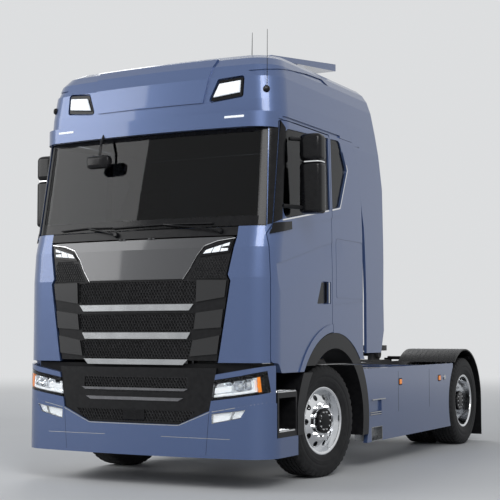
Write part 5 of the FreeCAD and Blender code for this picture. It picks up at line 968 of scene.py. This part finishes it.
# Tail bar: a shallower bar with chamfered edges in place of the CAD's block, and on each side
# one red, one amber and one white lamp.
def block(low, high, edge):
    """Rings of a box with chamfered edges between two corners, standing along y."""
    low, high = np.asarray(low, float), np.asarray(high, float)
    rings = []
    for y, inset in ((low[1], edge), (low[1] + edge, 0.0), (high[1] - edge, 0.0), (high[1], edge)):
        x0, x1, z0, z1 = low[0] + inset, high[0] - inset, low[2] + inset, high[2] - inset
        rings.append([(x0 + edge, y, z0), (x1 - edge, y, z0), (x1, y, z0 + edge), (x1, y, z1 - edge),
                      (x1 - edge, y, z1), (x0 + edge, y, z1), (x0, y, z1 - edge), (x0, y, z0 + edge)])
    return np.array(rings)


red_lamp, _ = toned("red_lamp", (0.55, 0.01, 0.01), 0.15, 150.0, (0.40, 0.004, 0.004),
                    (0.70, 0.02, 0.015))
bar_edge = 0.006
bar = shell("tail_bar_cover", block((-0.500, 2.841, 0.640), (0.500, 2.892, 0.800), bar_edge),
            frame_paint, "chassis")
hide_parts("tail_bar")
for name, material, inner_x, outer_x in (("tail_lamps_red", red_lamp, 0.395, 0.485),
                                         ("tail_lamps_amber", amber, 0.325, 0.390),
                                         ("tail_lamps_white", lamp_white, 0.270, 0.320)):
    unit = block((inner_x, 2.885, 0.672), (outer_x, 2.915, 0.768), bar_edge)
    shell(name, mirrored(unit), material, "chassis")

# Rear fenders: raised chequer diamonds over the rounded top, laid in rows along the arc.
fender_top, tilt_low, tilt_high = 0.6052, np.radians(28.0), np.radians(152.0)
pitch_arc, pitch_out, diamond_long, diamond_wide = 0.040, 0.030, 0.011, 0.004
arc_at = np.arange(tilt_low, tilt_high, pitch_arc / fender_top)
out_at = np.arange(0.585, 1.235, pitch_out)
odd = np.arange(out_at.size) % 2
spot_arc, spot_out = np.meshgrid(arc_at, out_at, indexing="ij")
spot_arc = spot_arc + odd * 0.5 * pitch_arc / fender_top
leaning = np.where(odd > 0, 1.0, -1.0)[:, None]
corner_arc = np.array((1.0, 0.0, -1.0, 0.0)) * diamond_long
corner_out = np.array((0.0, 1.0, 0.0, -1.0)) * diamond_wide
stages = []
for size, lift in ((1.0, -0.001), (0.55, 0.0022)):
    turn = spot_arc[..., None] + size * (corner_arc + leaning * corner_out * 1.2) / fender_top
    x = spot_out[..., None] + size * (corner_out + leaning * corner_arc * 0.8)
    y = rear_axle_y - (fender_top + lift) * np.cos(turn)
    z = wheel_z + (fender_top + lift) * np.sin(turn)
    stages.append(np.stack([x, y, z], -1).reshape(-1, 4, 3))
chequer = mirrored(np.stack(stages, 1))
shell("fender_chequer", np.concatenate(list(chequer)), tank_metal, "chassis", soft=0)

# Glass: a dark tint in the windscreen, the doors and the quarter windows, partly the glass's own
# tint and partly painted shade of the cab's inside. The black finishes are then given a weaker shine
# than other plastics have.
# Part of the glass's dark tint is painted shade of the cab's inside seen through it.
tint_and_shade_glass = clear("tint_and_shade_glass", (0.05, 0.055, 0.06), 2.0, (0.045, 0.050, 0.055),
                     (0.060, 0.066, 0.072), 1.30)
dress(tint_and_shade_glass, "windscreen", "door_glass_left", "door_glass_right", "quarter_windows")
weak_shine = 0.22
for material in (black_gloss, black_moulding, mesh_black, groove_black_and_gap_shade, rubber):
    material.node_tree.nodes["Principled BSDF"].inputs["Specular IOR Level"].default_value = weak_shine
